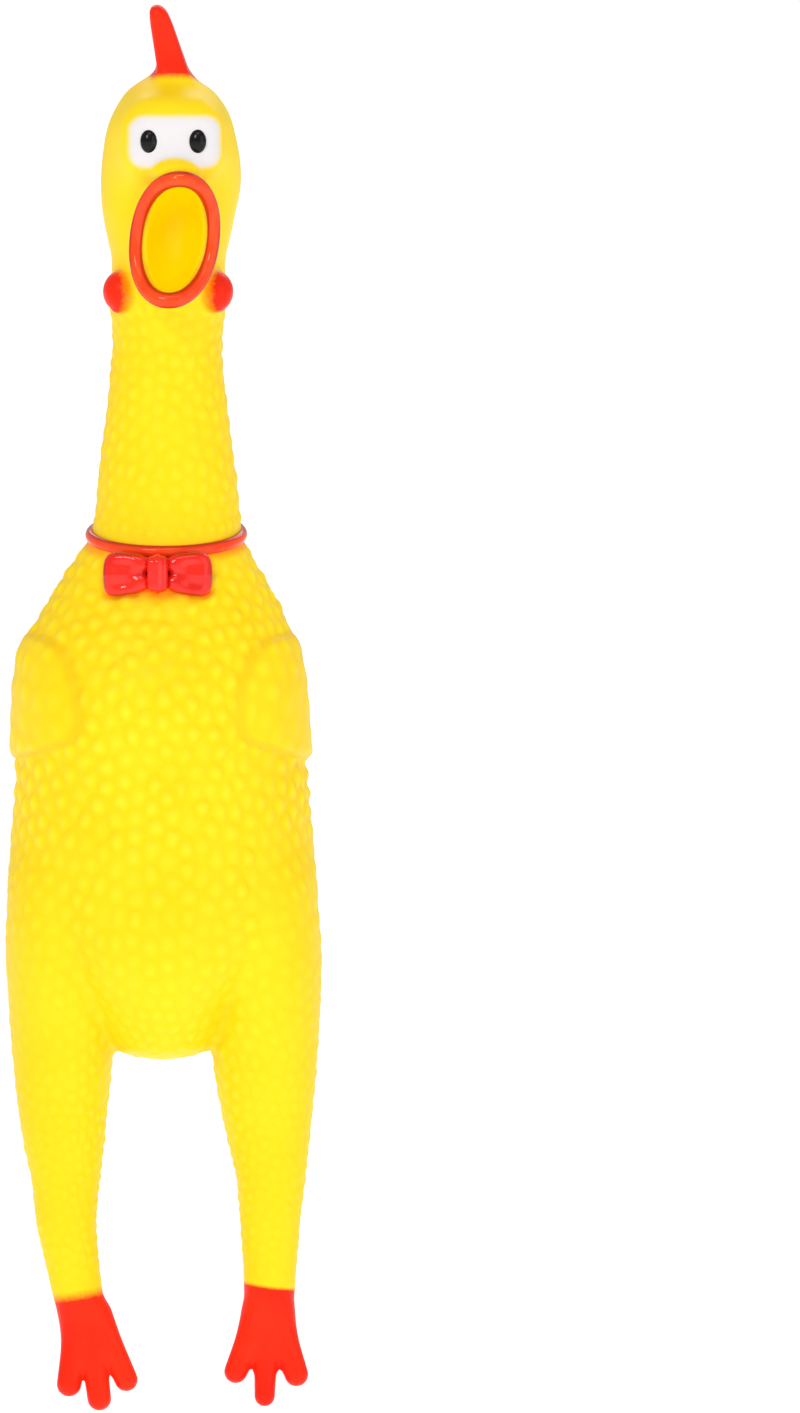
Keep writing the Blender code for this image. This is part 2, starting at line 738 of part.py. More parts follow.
clear_scene()
PARTS = new_collection("rubber_chicken")
CUTTERS = new_collection("cutters")
MATERIALS = {name: new_material(name) for name in COLOURS}
FORMS = [
    loft("trunk", TRUNK),
    loft("head", HEAD),
    brow_form(),
    muzzle_form(),
    loft("leg_left", leg_sections(LEG_LEFT)),
    loft("leg_right", leg_sections(LEG_RIGHT)),
]
SKIN_CLEARANCE = skin_form("skin_clearance", GAP)
MOULDING = skin_form("moulding", 0.0)
# The two forms run so close together that only the MANIFOLD solver keeps the wall whole.
boolean(MOULDING, skin_form("cavity", -WALL), "DIFFERENCE", "MANIFOLD")
MOULDING = frozen(MOULDING, "moulding")
make_torso()
make_neck()
make_legs()
make_beak()
make_eyes()
make_wattles()
make_comb()
make_collar()
make_bow()
make_wings()
make_squeaker()
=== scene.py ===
import math
import random

import bpy
import numpy as np
import openvdb
from mathutils import Euler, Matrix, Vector, kdtree


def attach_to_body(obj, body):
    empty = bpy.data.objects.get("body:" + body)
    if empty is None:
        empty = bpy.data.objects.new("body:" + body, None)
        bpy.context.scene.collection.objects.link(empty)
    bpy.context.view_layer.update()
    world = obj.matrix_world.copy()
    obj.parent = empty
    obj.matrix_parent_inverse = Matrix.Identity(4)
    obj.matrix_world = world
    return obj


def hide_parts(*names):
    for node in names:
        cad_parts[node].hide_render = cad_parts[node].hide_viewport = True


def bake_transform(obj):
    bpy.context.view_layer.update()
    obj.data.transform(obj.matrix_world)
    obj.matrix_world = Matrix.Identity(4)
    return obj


# The looks of a squeaking rubber chicken: one thin vinyl skin, sprayed yellow, white, red and amber.
# The skin is worked out as one distance field in millimetres, meshed once, given its feather bumps and
# its paint masks, and then divided into pieces that share their edge points, so that no seam shows.

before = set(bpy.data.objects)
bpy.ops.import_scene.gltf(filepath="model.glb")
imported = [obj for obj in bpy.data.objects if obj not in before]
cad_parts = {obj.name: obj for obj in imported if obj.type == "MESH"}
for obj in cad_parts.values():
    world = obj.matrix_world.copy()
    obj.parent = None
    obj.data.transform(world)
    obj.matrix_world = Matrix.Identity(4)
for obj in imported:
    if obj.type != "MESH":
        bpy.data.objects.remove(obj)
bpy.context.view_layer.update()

MM = 0.001
VOXEL = 0.65  # mm, the skin's mesh size
LOW = np.array((-50.0, -62.0, -181.0))  # mm, the corners of the skin's grid
HIGH = np.array((50.0, 48.0, 228.0))

# Heights in mm where the skin's pieces meet, and where each one bends
NECK_ROOT = (76.0, 90.0)
NECK_MIDDLE = (98.0, 112.0)
THROAT = (120.0, 134.0)
COMB_BEND = (204.3, 210.0)
HIP = (-78.0, -92.0)
ANKLE = (-134.0, -143.0)
BELLY_BEND = (-37.0, -44.0)  # along Y
NECK_CUTS = (75.0, 94.0, 116.0, 137.0)
LEG_CUTS = (-75.0, -115.0, -147.0)

# Sections of the trunk from the rump to the top of the neck, in mm:
# height, middle x, half width, front y, back y
TRUNK = [
    (-76.2, 0.0, 5.0, -14.0, -1.0),
    (-74.6, 0.0, 10.6, -21.5, 5.5),
    (-69.0, 0.0, 17.2, -29.5, 13.5),
    (-60.0, 0.0, 22.5, -37.0, 24.0),
    (-48.0, 0.0, 33.0, -42.0, 34.0),
    (-36.0, 0.0, 40.6, -42.8, 39.5),
    (-20.0, -0.1, 43.0, -42.0, 41.8),
    (-3.0, -0.3, 41.6, -41.5, 39.5),
    (9.0, -0.4, 40.6, -42.5, 38.0),
    (20.0, -0.6, 40.0, -44.0, 35.5),
    (31.0, -0.7, 39.3, -44.0, 30.5),
    (43.0, -0.6, 37.4, -40.5, 23.0),
    (54.0, 0.2, 32.0, -35.5, 17.5),
    (65.0, 0.6, 25.5, -33.0, 13.5),
    (71.0, 1.1, 22.0, -31.9, 12.0),
    (77.0, 1.5, 20.6, -31.0, 10.6),
    (88.0, 1.5, 19.5, -30.6, 8.8),
    (100.0, 1.5, 18.0, -30.1, 6.2),
    (111.0, 1.5, 16.6, -29.6, 3.8),
    (122.0, 1.5, 15.5, -29.5, 1.9),
    (134.0, 1.9, 15.0, -30.3, 0.5),
    (146.0, 1.6, 14.0, -30.0, -1.0),
]
TRUNK_TOP = 160.0

# Sections of the head, in the same terms
HEAD = [
    (130.0, 1.6, 12.0, -26.0, -4.0),
    (139.0, 1.8, 15.4, -32.5, 1.5),
    (151.0, 2.2, 15.6, -36.0, 3.5),
    (157.0, 2.1, 17.3, -36.5, 5.0),
    (163.0, 2.1, 18.6, -37.0, 6.2),
    (171.0, 2.6, 19.7, -38.0, 7.2),
    (180.0, 2.7, 19.3, -39.5, 6.6),
    (188.0, 2.3, 17.3, -40.0, 4.0),
    (194.0, 2.3, 14.3, -37.0, 0.5),
    (199.0, 2.3, 10.8, -31.5, -3.5),
    (203.0, 2.3, 5.0, -24.0, -8.0),
]

# Sections of each leg: height, middle x, half width, front y, back y
LEG_LEFT = [
    (-10.0, 26.0, 9.0, -17.0, 3.0),
    (-22.0, 28.2, 14.4, -29.0, 14.0),
    (-34.0, 28.8, 15.4, -32.0, 17.0),
    (-48.0, 29.5, 15.6, -31.5, 16.0),
    (-60.0, 29.4, 15.4, -29.5, 13.0),
    (-77.0, 29.2, 14.6, -25.5, 8.0),
    (-88.0, 29.5, 13.3, -23.2, 5.2),
    (-100.0, 30.2, 11.4, -21.2, 3.2),
    (-111.0, 30.8, 9.6, -19.4, 1.0),
    (-122.0, 30.6, 8.5, -18.2, -0.8),
    (-134.0, 30.5, 7.6, -17.4, -2.2),
    (-146.0, 30.2, 7.0, -17.0, -3.0),
    (-153.0, 29.9, 6.2, -15.8, -4.6),
    (-159.0, 29.6, 4.4, -14.6, -6.4),
]
LEG_RIGHT = [
    (-10.0, -26.0, 9.0, -17.0, 3.0),
    (-22.0, -28.2, 14.4, -29.0, 14.0),
    (-34.0, -28.6, 15.4, -32.0, 17.0),
    (-48.0, -28.9, 15.4, -31.5, 16.0),
    (-60.0, -28.5, 15.1, -29.5, 13.0),
    (-77.0, -28.3, 14.0, -25.5, 8.0),
    (-88.0, -28.4, 12.8, -23.2, 5.2),
    (-100.0, -28.0, 11.4, -21.2, 3.2),
    (-111.0, -27.5, 9.6, -19.4, 1.0),
    (-122.0, -27.4, 8.5, -18.2, -0.8),
    (-134.0, -25.7, 7.6, -17.4, -2.2),
    (-146.0, -23.5, 7.0, -17.0, -3.0),
    (-153.0, -21.8, 6.2, -15.8, -4.6),
    (-159.0, -20.6, 4.4, -14.6, -6.4),
]
LEG_FOOT = -163.0

# Each toe: where its tip's centre is, and its radius there, in mm
TOES_LEFT = [(20.8, -13.3, -165.0, 3.3), (29.0, -14.2, -171.9, 2.9), (38.0, -13.3, -165.8, 3.4)]
TOES_RIGHT = [(-26.5, -13.3, -168.6, 3.5), (-17.9, -14.2, -172.6, 3.4), (-10.3, -13.3, -167.3, 3.3)]
TOE_ROOT = 3.7  # mm, radius at the ankle
TOE_START = (0.35, -10.6, -149.5)  # how far the root goes out towards the tip, and its y and z in mm
ANKLE_X = {1: 30.0, -1: -22.6}  # mm, on the chicken's left (1) and right (-1)

# The comb's fin seen from the side, y and z from the front of its root round to the back
COMB = [
    (-24.0, 190.0),
    (-28.5, 197.5),
    (-28.3, 203.0),
    (-28.3, 208.0),
    (-29.5, 214.0),
    (-31.0, 220.5),
    (-27.5, 222.8),
    (-21.0, 221.5),
    (-14.5, 216.5),
    (-11.0, 212.0),
    (-7.5, 210.2),
    (-4.0, 204.5),
    (-4.5, 197.0),
]
COMB_FOOT = 200.0  # mm, the height from which it leans
COMB_TALL = 22.0

# A folded wing seen from the side, y and z from its lower front corner round
WING = [
    (-37.0, 17.5),
    (-31.0, 13.5),
    (-20.0, 11.0),
    (0.0, 9.0),
    (16.0, 5.5),
    (24.0, 5.5),
    (27.0, 13.0),
    (25.0, 26.0),
    (17.0, 37.0),
    (2.0, 43.0),
    (-16.0, 44.5),
    (-31.0, 41.5),
    (-37.5, 30.0),
]

MOUTH_HEIGHT = 157.0
MOUTH_X = 4.0
MOUTH_LEAN = 0.09  # the open beak leans over this much sideways for its height
LIP_HALF = (10.9, 17.1)  # mm, sideways and up
LIP_ARC = (-58.5, 155.6, 20.5)  # middle y and z, and radius, of the arc that the open beak's edge follows
LIP_TUBE = (1.85, 2.3)  # mm, at the corners of the beak and at its tips
BEAK_FULLNESS = 2.15  # 2 would make the beak a plain oval
POCKET = ((MOUTH_X, -52.0, MOUTH_HEIGHT), (10.0, 22.5, 16.0))
BROW = ((3.6, -31.0, 185.0), (13.4, 13.2, 11.0))
EYE_SPREAD = 6.8
EYE_MIDDLE = (3.7, -44.2, 184.6)
WATTLE_SPREAD = 13.2
WATTLE = ((2.0, -26.5, 141.9), (5.2, 6.4, 5.9))
BRIDGE = ((4.2, -43.0, 176.2), (6.6, 6.0, 4.0))
VENT = (0.0, -4.0)
VENT_ROOM = (9.3, -72.6)  # radius, and the height up to which the skin is recessed
NECK_X, NECK_Y = 0.8, -10.0  # mm, the neck's middle at the collar
COLLAR_HEIGHT = 72.9
COLLAR_SLOPE = 0.19
COLLAR_HALF = (1.5, 1.7)  # mm, outward and up
BOW = (-0.9, -37.0, 62.2)
LOOP_REACH = 15.5  # mm, from the bow's middle to the end of a loop
LOOP_MIDDLE = 8.6
LOOP_HALF = (6.9, 5.0, 1.9)  # mm, sideways, up at the knot, and how much more at the end
PUPIL = (2.5, 1.7, 3.4)  # mm, radii

# Paint edges, in mm
PATCH_MIDDLE = (4.1, 184.4)  # x and z of the white round both eyes
PATCH_HALF = (12.6, 6.9)
PATCH_CORNER = 4.0
COMB_EDGE = 202.4
WATTLE_PAINT = ((15.6, -28.0, 141.8), (8.4, 4.6))  # spread, y and z, and radii where it fades and is full
BOW_HAZE = (14.0, 5.5)  # half the sizes of the area that it surrounds


# Distance fields


def hermite(places, values, at):
    """A smooth curve through unevenly spaced values."""
    steps = np.diff(places)
    rates = np.diff(values) / steps
    slopes = np.empty(len(values))
    slopes[1:-1] = (rates[:-1] * steps[1:] + rates[1:] * steps[:-1]) / (steps[:-1] + steps[1:])
    slopes[0] = rates[0]
    slopes[-1] = rates[-1]
    span = np.clip(np.searchsorted(places, at) - 1, 0, len(steps) - 1)
    width = steps[span]
    t = np.clip((at - places[span]) / width, 0.0, 1.0)
    start = values[span] * (1 + 2 * t) * (1 - t) ** 2 + slopes[span] * width * t * (1 - t) ** 2
    end = values[span + 1] * t * t * (3 - 2 * t) + slopes[span + 1] * width * t * t * (t - 1)
    below = np.minimum(at - places[0], 0.0) * slopes[0]
    above = np.maximum(at - places[-1], 0.0) * slopes[-1]
    return start + end, below + above


class Loft:
    """Distance to the form through level oval sections, which closes where its area runs out."""

    STEP = 0.25  # mm, between the heights at which the sections are worked out
    LEAST_STEEP = 4.0  # keeps the distance finite along the middle, where the field is level

    def __init__(self, rows, low, high):
        table = np.array(sorted(rows)).T
        places, middle, width, front, back = table
        depth = (back - front) / 2
        self.at = np.arange(low, high, self.STEP)
        columns = (middle, (front + back) / 2, depth / width, depth * width)
        curves = [hermite(places, column, self.at) for column in columns]
        self.values = [curve for curve, _ in curves[:3]]
        self.values.append(curves[3][0] + curves[3][1])
        self.slopes = [np.gradient(value, self.STEP) for value in self.values]

    def __call__(self, x, y, z):
        cx, cy, ratio, area = (np.interp(z, self.at, value).astype(np.float32) for value in self.values)
        cx_z, cy_z, ratio_z, area_z = (
            np.interp(z, self.at, slope).astype(np.float32) for slope in self.slopes
        )
        dx = x - cx
        dy = y - cy
        value = ratio * dx * dx + dy * dy / ratio - area
        across = 2 * ratio * dx
        along = 2 * dy / ratio
        up = ratio_z * dx * dx - ratio_z / ratio**2 * dy * dy - across * cx_z - along * cy_z - area_z
        steepness = np.sqrt(across**2 + along**2 + up**2)
        return value / np.maximum(steepness, self.LEAST_STEEP)


def ellipsoid(centre, radii, x, y, z):
    """Nearly the distance to an ellipsoid, true at its surface."""
    px, py, pz = x - centre[0], y - centre[1], z - centre[2]
    near = np.sqrt((px / radii[0]) ** 2 + (py / radii[1]) ** 2 + (pz / radii[2]) ** 2)
    steep = np.sqrt((px / radii[0] ** 2) ** 2 + (py / radii[1] ** 2) ** 2 + (pz / radii[2] ** 2) ** 2)
    return near * (near - 1) / np.maximum(steep, 1e-4)


def rounded_box(centre, half, radius, x, y, z):
    outside = [np.abs(p - c) - h + radius for p, c, h in zip((x, y, z), centre, half)]
    beyond = np.sqrt(sum(np.maximum(q, 0) ** 2 for q in outside))
    within = np.minimum(np.maximum(np.maximum(outside[0], outside[1]), outside[2]), 0)
    return beyond + within - radius


def round_cone(start, end, thick, thin, x, y, z):
    """A bar whose radius changes from one end to the other."""
    axis = np.subtract(end, start)
    px, py, pz = x - start[0], y - start[1], z - start[2]
    t = np.clip((px * axis[0] + py * axis[1] + pz * axis[2]) / (axis @ axis), 0.0, 1.0)
    gap = np.sqrt((px - t * axis[0]) ** 2 + (py - t * axis[1]) ** 2 + (pz - t * axis[2]) ** 2)
    return gap - (thick + (thin - thick) * t)


def soft_min(a, b, k):
    """The smaller distance, rounded over a width of k where the two are close."""
    h = np.maximum(k - np.abs(a - b), 0.0) / k
    return np.minimum(a, b) - h * h * k / 4


def soft_max(a, b, k):
    return -soft_min(-a, -b, k)


def closed_curve(points, per_span=6):
    """Points along a smooth closed curve through the given ones."""
    corners = np.array(points, float)
    made = []
    for i in range(len(corners)):
        p0, p1, p2, p3 = (corners[(i + j) % len(corners)] for j in (-1, 0, 1, 2))
        for step in range(per_span):
            t = step / per_span
            made.append(
                0.5
                * (
                    2 * p1
                    + (p2 - p0) * t
                    + (2 * p0 - 5 * p1 + 4 * p2 - p3) * t * t
                    + (3 * p1 - p0 - 3 * p2 + p3) * t**3
                )
            )
    return np.array(made)


def outline_distance(outline, u, v):
    """Signed distance in a plane to a closed outline, negative inside."""
    u, v = np.broadcast_arrays(u, v)
    nearest = np.full(u.shape, 1e9, np.float32)
    inside = np.zeros(u.shape, bool)
    for a, b in zip(outline, np.roll(outline, -1, axis=0)):
        edge = b - a
        t = np.clip(((u - a[0]) * edge[0] + (v - a[1]) * edge[1]) / (edge @ edge), 0.0, 1.0)
        gap = (u - a[0] - t * edge[0]) ** 2 + (v - a[1] - t * edge[1]) ** 2
        nearest = np.minimum(nearest, gap)
        if a[1] != b[1]:
            crosses = (v >= min(a[1], b[1])) & (v < max(a[1], b[1]))
            inside ^= crosses & (u < a[0] + (v - a[1]) / (b[1] - a[1]) * edge[0])
    return np.where(inside, -1.0, 1.0) * np.sqrt(nearest)


trunk_loft = Loft(TRUNK, -82.0, TRUNK_TOP + 8)
head_loft = Loft(HEAD, 118.0, 208.0)
leg_lofts = {
    1: Loft(LEG_LEFT, -170.0, 4.0),
    -1: Loft(LEG_RIGHT, -170.0, 4.0),
}
comb_outline = closed_curve(COMB)
wing_outline = closed_curve(WING)


def trunk(x, y, z):
    return np.maximum(trunk_loft(x, y, z), z - TRUNK_TOP)


def leg(side, x, y, z):
    return np.maximum(leg_lofts[side](x, y, z), LEG_FOOT - z)


def foot(side, x, y, z):
    share, root_y, root_z = TOE_START
    whole = None
    for tip in TOES_LEFT if side > 0 else TOES_RIGHT:
        start = (ANKLE_X[side] + (tip[0] - ANKLE_X[side]) * share, root_y, root_z)
        toe = round_cone(start, tip[:3], TOE_ROOT, tip[3], x, y, z)
        whole = toe if whole is None else soft_min(whole, toe, 1.2)
    return whole


def comb(x, y, z):
    """A rounded fin that leans to the chicken's right and thins towards its tip."""
    rise = np.clip((z - COMB_FOOT) / COMB_TALL, 0.0, 1.0)
    round_over = 2.0
    flat = outline_distance(comb_outline, y, z) + round_over
    tip = np.clip((z - 216.0) / 7.0, 0.0, 1.0) ** 2
    thick = np.abs(x - (4.3 - 5.3 * rise)) - (4.7 - 2.0 * rise - 0.7 * tip) + round_over
    beyond = np.sqrt(np.maximum(flat, 0) ** 2 + np.maximum(thick, 0) ** 2)
    return beyond + np.minimum(np.maximum(flat, thick), 0) - round_over


def brow(x, y, z):
    return rounded_box(*BROW, 7.5, x, y, z)


def bridge(x, y, z):
    return ellipsoid(*BRIDGE, x, y, z)


def muzzle(x, y, z):
    """The open beak: an oval tube along Y whose front edge is hollowed to an arc seen from the side."""
    grow = np.interp(y, (-30.0, -18.0), (1.0, 0.7))
    half_x = (LIP_HALF[0] + 1.2) * grow
    half_z = (LIP_HALF[1] + 1.2) * grow
    px = (x - mouth_middle(z)) / half_x
    pz = (z - MOUTH_HEIGHT) / half_z
    near = (np.abs(px) ** BEAK_FULLNESS + np.abs(pz) ** BEAK_FULLNESS) ** (1 / BEAK_FULLNESS)
    tube = near * (near - 1) / np.maximum(np.sqrt((px / half_x) ** 2 + (pz / half_z) ** 2), 1e-3)
    middle_y, middle_z, radius = LIP_ARC
    arc = radius - np.sqrt((y - middle_y) ** 2 + (z - middle_z) ** 2)
    front = np.maximum(-55.5 - y, y + 16.0)
    return np.maximum(np.maximum(tube, arc), front)


def mouth_middle(z):
    return MOUTH_X + MOUTH_LEAN * (z - MOUTH_HEIGHT)


def wattle(side, x, y, z):
    (middle, front, height), radii = WATTLE
    return ellipsoid((middle + side * WATTLE_SPREAD, front, height), radii, x, y, z)


def pocket(x, y, z):
    """The hollow of the mouth, which leans with the beak."""
    return ellipsoid(*POCKET, x - MOUTH_LEAN * (z - MOUTH_HEIGHT), y, z)


def wing(side, x, y, z, skin):
    """A low pad that follows the trunk's own surface and runs out towards its back and inner edges."""
    proud = np.interp(z, (4.0, 12.0, 30.0, 45.0), (2.3, 2.4, 2.3, 1.5))
    proud = proud * np.interp(y, (0.0, 26.0), (1.0, 0.5))
    proud = proud * np.interp(side * x, (18.0, 33.0), (0.1, 1.0))
    pad = soft_max(skin - proud, outline_distance(wing_outline, y, z), 2.2)
    return np.maximum(pad, 14.0 - side * x)


# The skin's grid


SHAPE = np.ceil((HIGH - LOW) / VOXEL).astype(int)
AXES = [(LOW[i] + VOXEL * np.arange(SHAPE[i])).astype(np.float32) for i in range(3)]
grid = np.full(SHAPE, 1e3, np.float32)


def region(low, high):
    """The grid's cells between two corners, and their coordinates."""
    cells, coordinates = [], []
    for i in range(3):
        first = max(int((low[i] - LOW[i]) / VOXEL), 0)
        last = min(int((high[i] - LOW[i]) / VOXEL) + 1, SHAPE[i])
        shape = [1, 1, 1]
        shape[i] = last - first
        cells.append(slice(first, last))
        coordinates.append(AXES[i][first:last].reshape(shape))
    return tuple(cells), coordinates


def unite(field, low, high, blend):
    """Adds a form between two corners, rounding the joint over the blend's width in mm."""
    cells, (x, y, z) = region(low, high)
    grid[cells] = soft_min(grid[cells], field(x, y, z), blend)


def cut(field, low, high, blend):
    """Takes a form away between two corners."""
    cells, (x, y, z) = region(low, high)
    grid[cells] = soft_max(grid[cells], -field(x, y, z), blend)


def vent(x, y, z):
    """The recess in the rump for the squeaker's flange."""
    radius, top = VENT_ROOM
    return np.maximum(np.sqrt((x - VENT[0]) ** 2 + (y - VENT[1]) ** 2) - radius, z - top)


def make_grid():
    """Puts every form of the skin into the grid, each within a box that holds it."""
    reach_x, reach_y = 49.0, 47.0
    unite(trunk, (-reach_x, -56.0, -82.0), (reach_x, reach_y, TRUNK_TOP + 4), 0.01)
    for side in (1, -1):
        low_x, high_x = (6.0, 48.0) if side > 0 else (-48.0, -6.0)
        unite(lambda x, y, z: leg(side, x, y, z), (low_x, -40.0, -168.0), (high_x, 24.0, 2.0), 3.2)
        low_x, high_x = (14.0, 46.0) if side > 0 else (-36.0, -2.0)
        unite(lambda x, y, z: foot(side, x, y, z), (low_x, -24.0, -180.0), (high_x, 2.0, -140.0), 4.0)
        cells, (x, y, z) = region((-reach_x, -50.0, -6.0), (reach_x, 34.0, 54.0))
        grid[cells] = soft_min(grid[cells], wing(side, x, y, z, trunk(x, y, z)), 1.6)
    unite(head_loft, (-28.0, -52.0, 119.0), (32.0, 18.0, 207.0), 5.0)
    unite(brow, (-22.0, -58.0, 162.0), (30.0, -6.0, 210.0), 9.0)
    unite(muzzle, (-18.0, -61.0, 128.0), (24.0, -10.0, 186.0), 2.0)
    unite(bridge, (-10.0, -56.0, 166.0), (18.0, -34.0, 188.0), 2.6)
    for side in (1, -1):
        middle = WATTLE[0][0] + side * WATTLE_SPREAD
        unite(
            lambda x, y, z: wattle(side, x, y, z),
            (middle - 12, -40.0, 130.0),
            (middle + 12, -14.0, 153.0),
            2.0,
        )
    unite(comb, (-12.0, -42.0, 190.0), (18.0, 12.0, 226.0), 3.2)
    cut(pocket, (-12.0, -62.0, 138.0), (18.0, -22.0, 176.0), 0.8)
    cut(vent, (-12.0, -16.0, -80.0), (12.0, 8.0, -68.0), 0.4)


def meshed():
    """Points in mm and quads of the skin's surface."""
    limit = 3 * VOXEL
    volume = openvdb.FloatGrid(background=limit)
    volume.copyFromArray(np.clip(grid, -limit, limit), tolerance=0.0)
    points, quads = volume.convertToQuads(isovalue=0.0)
    return points * VOXEL + LOW.astype(np.float32), quads


def normals_of(points, quads):
    """Each point's normal, from the diagonals of the quads round it."""
    corners = points[quads]
    across = np.cross(corners[:, 2] - corners[:, 0], corners[:, 3] - corners[:, 1])
    normals = np.zeros_like(points)
    for i in range(4):
        for axis in range(3):
            normals[:, axis] += np.bincount(quads[:, i], across[:, axis], len(points))
    return normals / np.maximum(np.linalg.norm(normals, axis=1, keepdims=True), 1e-9)


def smoothstep(low, high, value):
    t = np.clip((value - low) / (high - low), 0.0, 1.0)
    return t * t * (3 - 2 * t)


def labels_at(x, y, z):
    """Which piece of the skin each point belongs to."""
    skin = trunk(x, y, z)
    names = np.full(len(x), "torso_skin", object)
    for name, low in zip(("neck_root", "neck_middle", "throat", "head_skin"), NECK_CUTS):
        names[z > low] = name
    for side, word in ((1, "left"), (-1, "right")):
        on_side = side * x > np.where(z < -100.0, 0.0, 8.0)
        for name, high in zip(("thigh", "shank", "foot"), LEG_CUTS):
            names[on_side & (z < high)] = f"{name}_{word}"
        pad = wing(side, x, y, z, skin)
        names[(pad < skin + 0.1) & (np.abs(pad) < 1.2) & (z < 60) & (z > -10)] = f"wing_{word}"
    head = z > NECK_CUTS[3]
    body = np.minimum(np.minimum(head_loft(x, y, z), brow(x, y, z)), muzzle(x, y, z))
    body = np.where(z < 150.0, np.minimum(body, skin), body)
    for side, word in ((1, "left"), (-1, "right")):
        spot = wattle(side, x, y, z)
        names[head & (spot < body) & (z < 152.0)] = f"wattle_{word}"
    names[head & (comb(x, y, z) < body) & (z > 190.0)] = "comb"
    names[head & (pocket(x, y, z) < 0.35)] = "mouth_lining"
    return names


# Feather bumps


def bump_pitch(points):
    """How far apart the bumps are at each point, and how high they stand, in mm."""
    x, y, z = points.T
    levels = (-140.0, -100.0, -70.0, -40.0, 40.0, 70.0, 100.0, 140.0)
    pitch = np.interp(z, levels, (3.0, 3.2, 4.0, 5.0, 5.0, 4.6, 4.2, 3.8))
    levels = (-142.0, -132.0, -80.0, -55.0, -20.0, 10.0, 40.0, 60.0, 75.0, 100.0, 140.0)
    height = np.interp(z, levels, (0.0, 0.38, 0.46, 0.42, 0.62, 0.9, 0.95, 0.7, 0.5, 0.48, 0.42))
    side = smoothstep(24.0, 36.0, np.abs(x)) * smoothstep(0.0, -20.0, z)
    return pitch, height * (1 - 0.35 * side)


NEAREST = 0.86  # how near two bump middles may lie, as a share of their pitch
SQUEEZE = (1.0, 1.0, 0.86)  # heights shrink by this while bumps are spaced, so they end taller than wide


def bump_seeds(points, pitch, wanted):
    """Scattered bump middles, no two nearer than a share of their pitch."""
    order = [i for i in range(len(points)) if wanted[i]]
    random.Random(7).shuffle(order)
    cell = 5.0
    around = [(a, b, c) for a in (-1, 0, 1) for b in (-1, 0, 1) for c in (-1, 0, 1)]
    taken = {}
    seeds = []
    for i in order:
        p = points[i]
        room = pitch[i] * NEAREST
        home = tuple(int(c // cell) for c in p)
        near = (q for a, b, c in around for q in taken.get((home[0] + a, home[1] + b, home[2] + c), ()))
        if all((p[0] - q[0]) ** 2 + (p[1] - q[1]) ** 2 + (p[2] - q[2]) ** 2 >= room * room for q in near):
            taken.setdefault(home, []).append(p)
            seeds.append(p)
    return np.array(seeds)


def tree_of(points):
    tree = kdtree.KDTree(len(points))
    for i, point in enumerate(points):
        tree.insert(point, i)
    tree.balance()
    return tree


def add_bumps(points, normals, names):
    """Raises rounded feather bumps of uneven height. Returns the points and how deep in the grooves each is,
    which sets the painted shade in the grooves and the painted highlight on the bump tops.
    """
    x, y, z = points.T
    squeezed = points * np.array(SQUEEZE)
    pitch, height = bump_pitch(points)
    plain = np.isin(names, ("mouth_lining", "comb", "wattle_left", "wattle_right"))
    winged = np.isin(names, ("wing_left", "wing_right"))
    keep = np.where(plain, 0.0, 1.0)
    pitch = np.where(winged, 7.0, pitch)
    height = np.where(winged, 0.42, height)
    keep *= smoothstep(150.0, 138.0, z)
    from_vent = np.hypot(x - VENT[0], y - VENT[1]) + np.maximum(z + 70, 0)
    keep *= smoothstep(VENT_ROOM[0] + 1.0, VENT_ROOM[0] + 5.0, from_vent)
    keep *= smoothstep(2.0, 5.0, np.abs(z - collar_height(y)))
    wanted = keep > 0.05
    seeds = bump_seeds(squeezed, pitch, wanted)
    bumpy = squeezed[wanted]
    for _ in range(2):  # evens them out
        tree = tree_of(seeds)
        index = np.array([tree.find(p)[1] for p in bumpy])
        count = np.maximum(np.bincount(index, minlength=len(seeds)), 1)
        seeds = np.stack([np.bincount(index, bumpy[:, i], len(seeds)) / count for i in range(3)], 1)
    tree = tree_of(seeds)
    share = np.random.default_rng(7).uniform(0.45, 1.15, len(seeds))
    near = np.zeros(len(points))
    own = np.ones(len(points))
    for i in np.nonzero(wanted)[0]:
        first, second = tree.find_n(squeezed[i], 2)
        near[i] = 2 * first[2] / (first[2] + second[2])
        own[i] = share[first[1]]
    rise = np.where(wanted, 1 - smoothstep(0.1, 1.0, near), 0.0) * keep * own
    faint = np.clip(height / 0.75, 0.0, 1.0) * keep * own
    # Painted light: the grooves between bumps get painted shade and the bump tops get painted highlight
    groove_shade = 0.55 + (smoothstep(0.2, 0.95, near) - 0.55) * np.where(wanted, faint, 0.0)
    return points + normals * (rise * height)[:, None], groove_shade


def collar_height(y):
    """The collar hangs lower at the throat than at the nape."""
    return COLLAR_HEIGHT + COLLAR_SLOPE * (y - NECK_Y)


# Paint


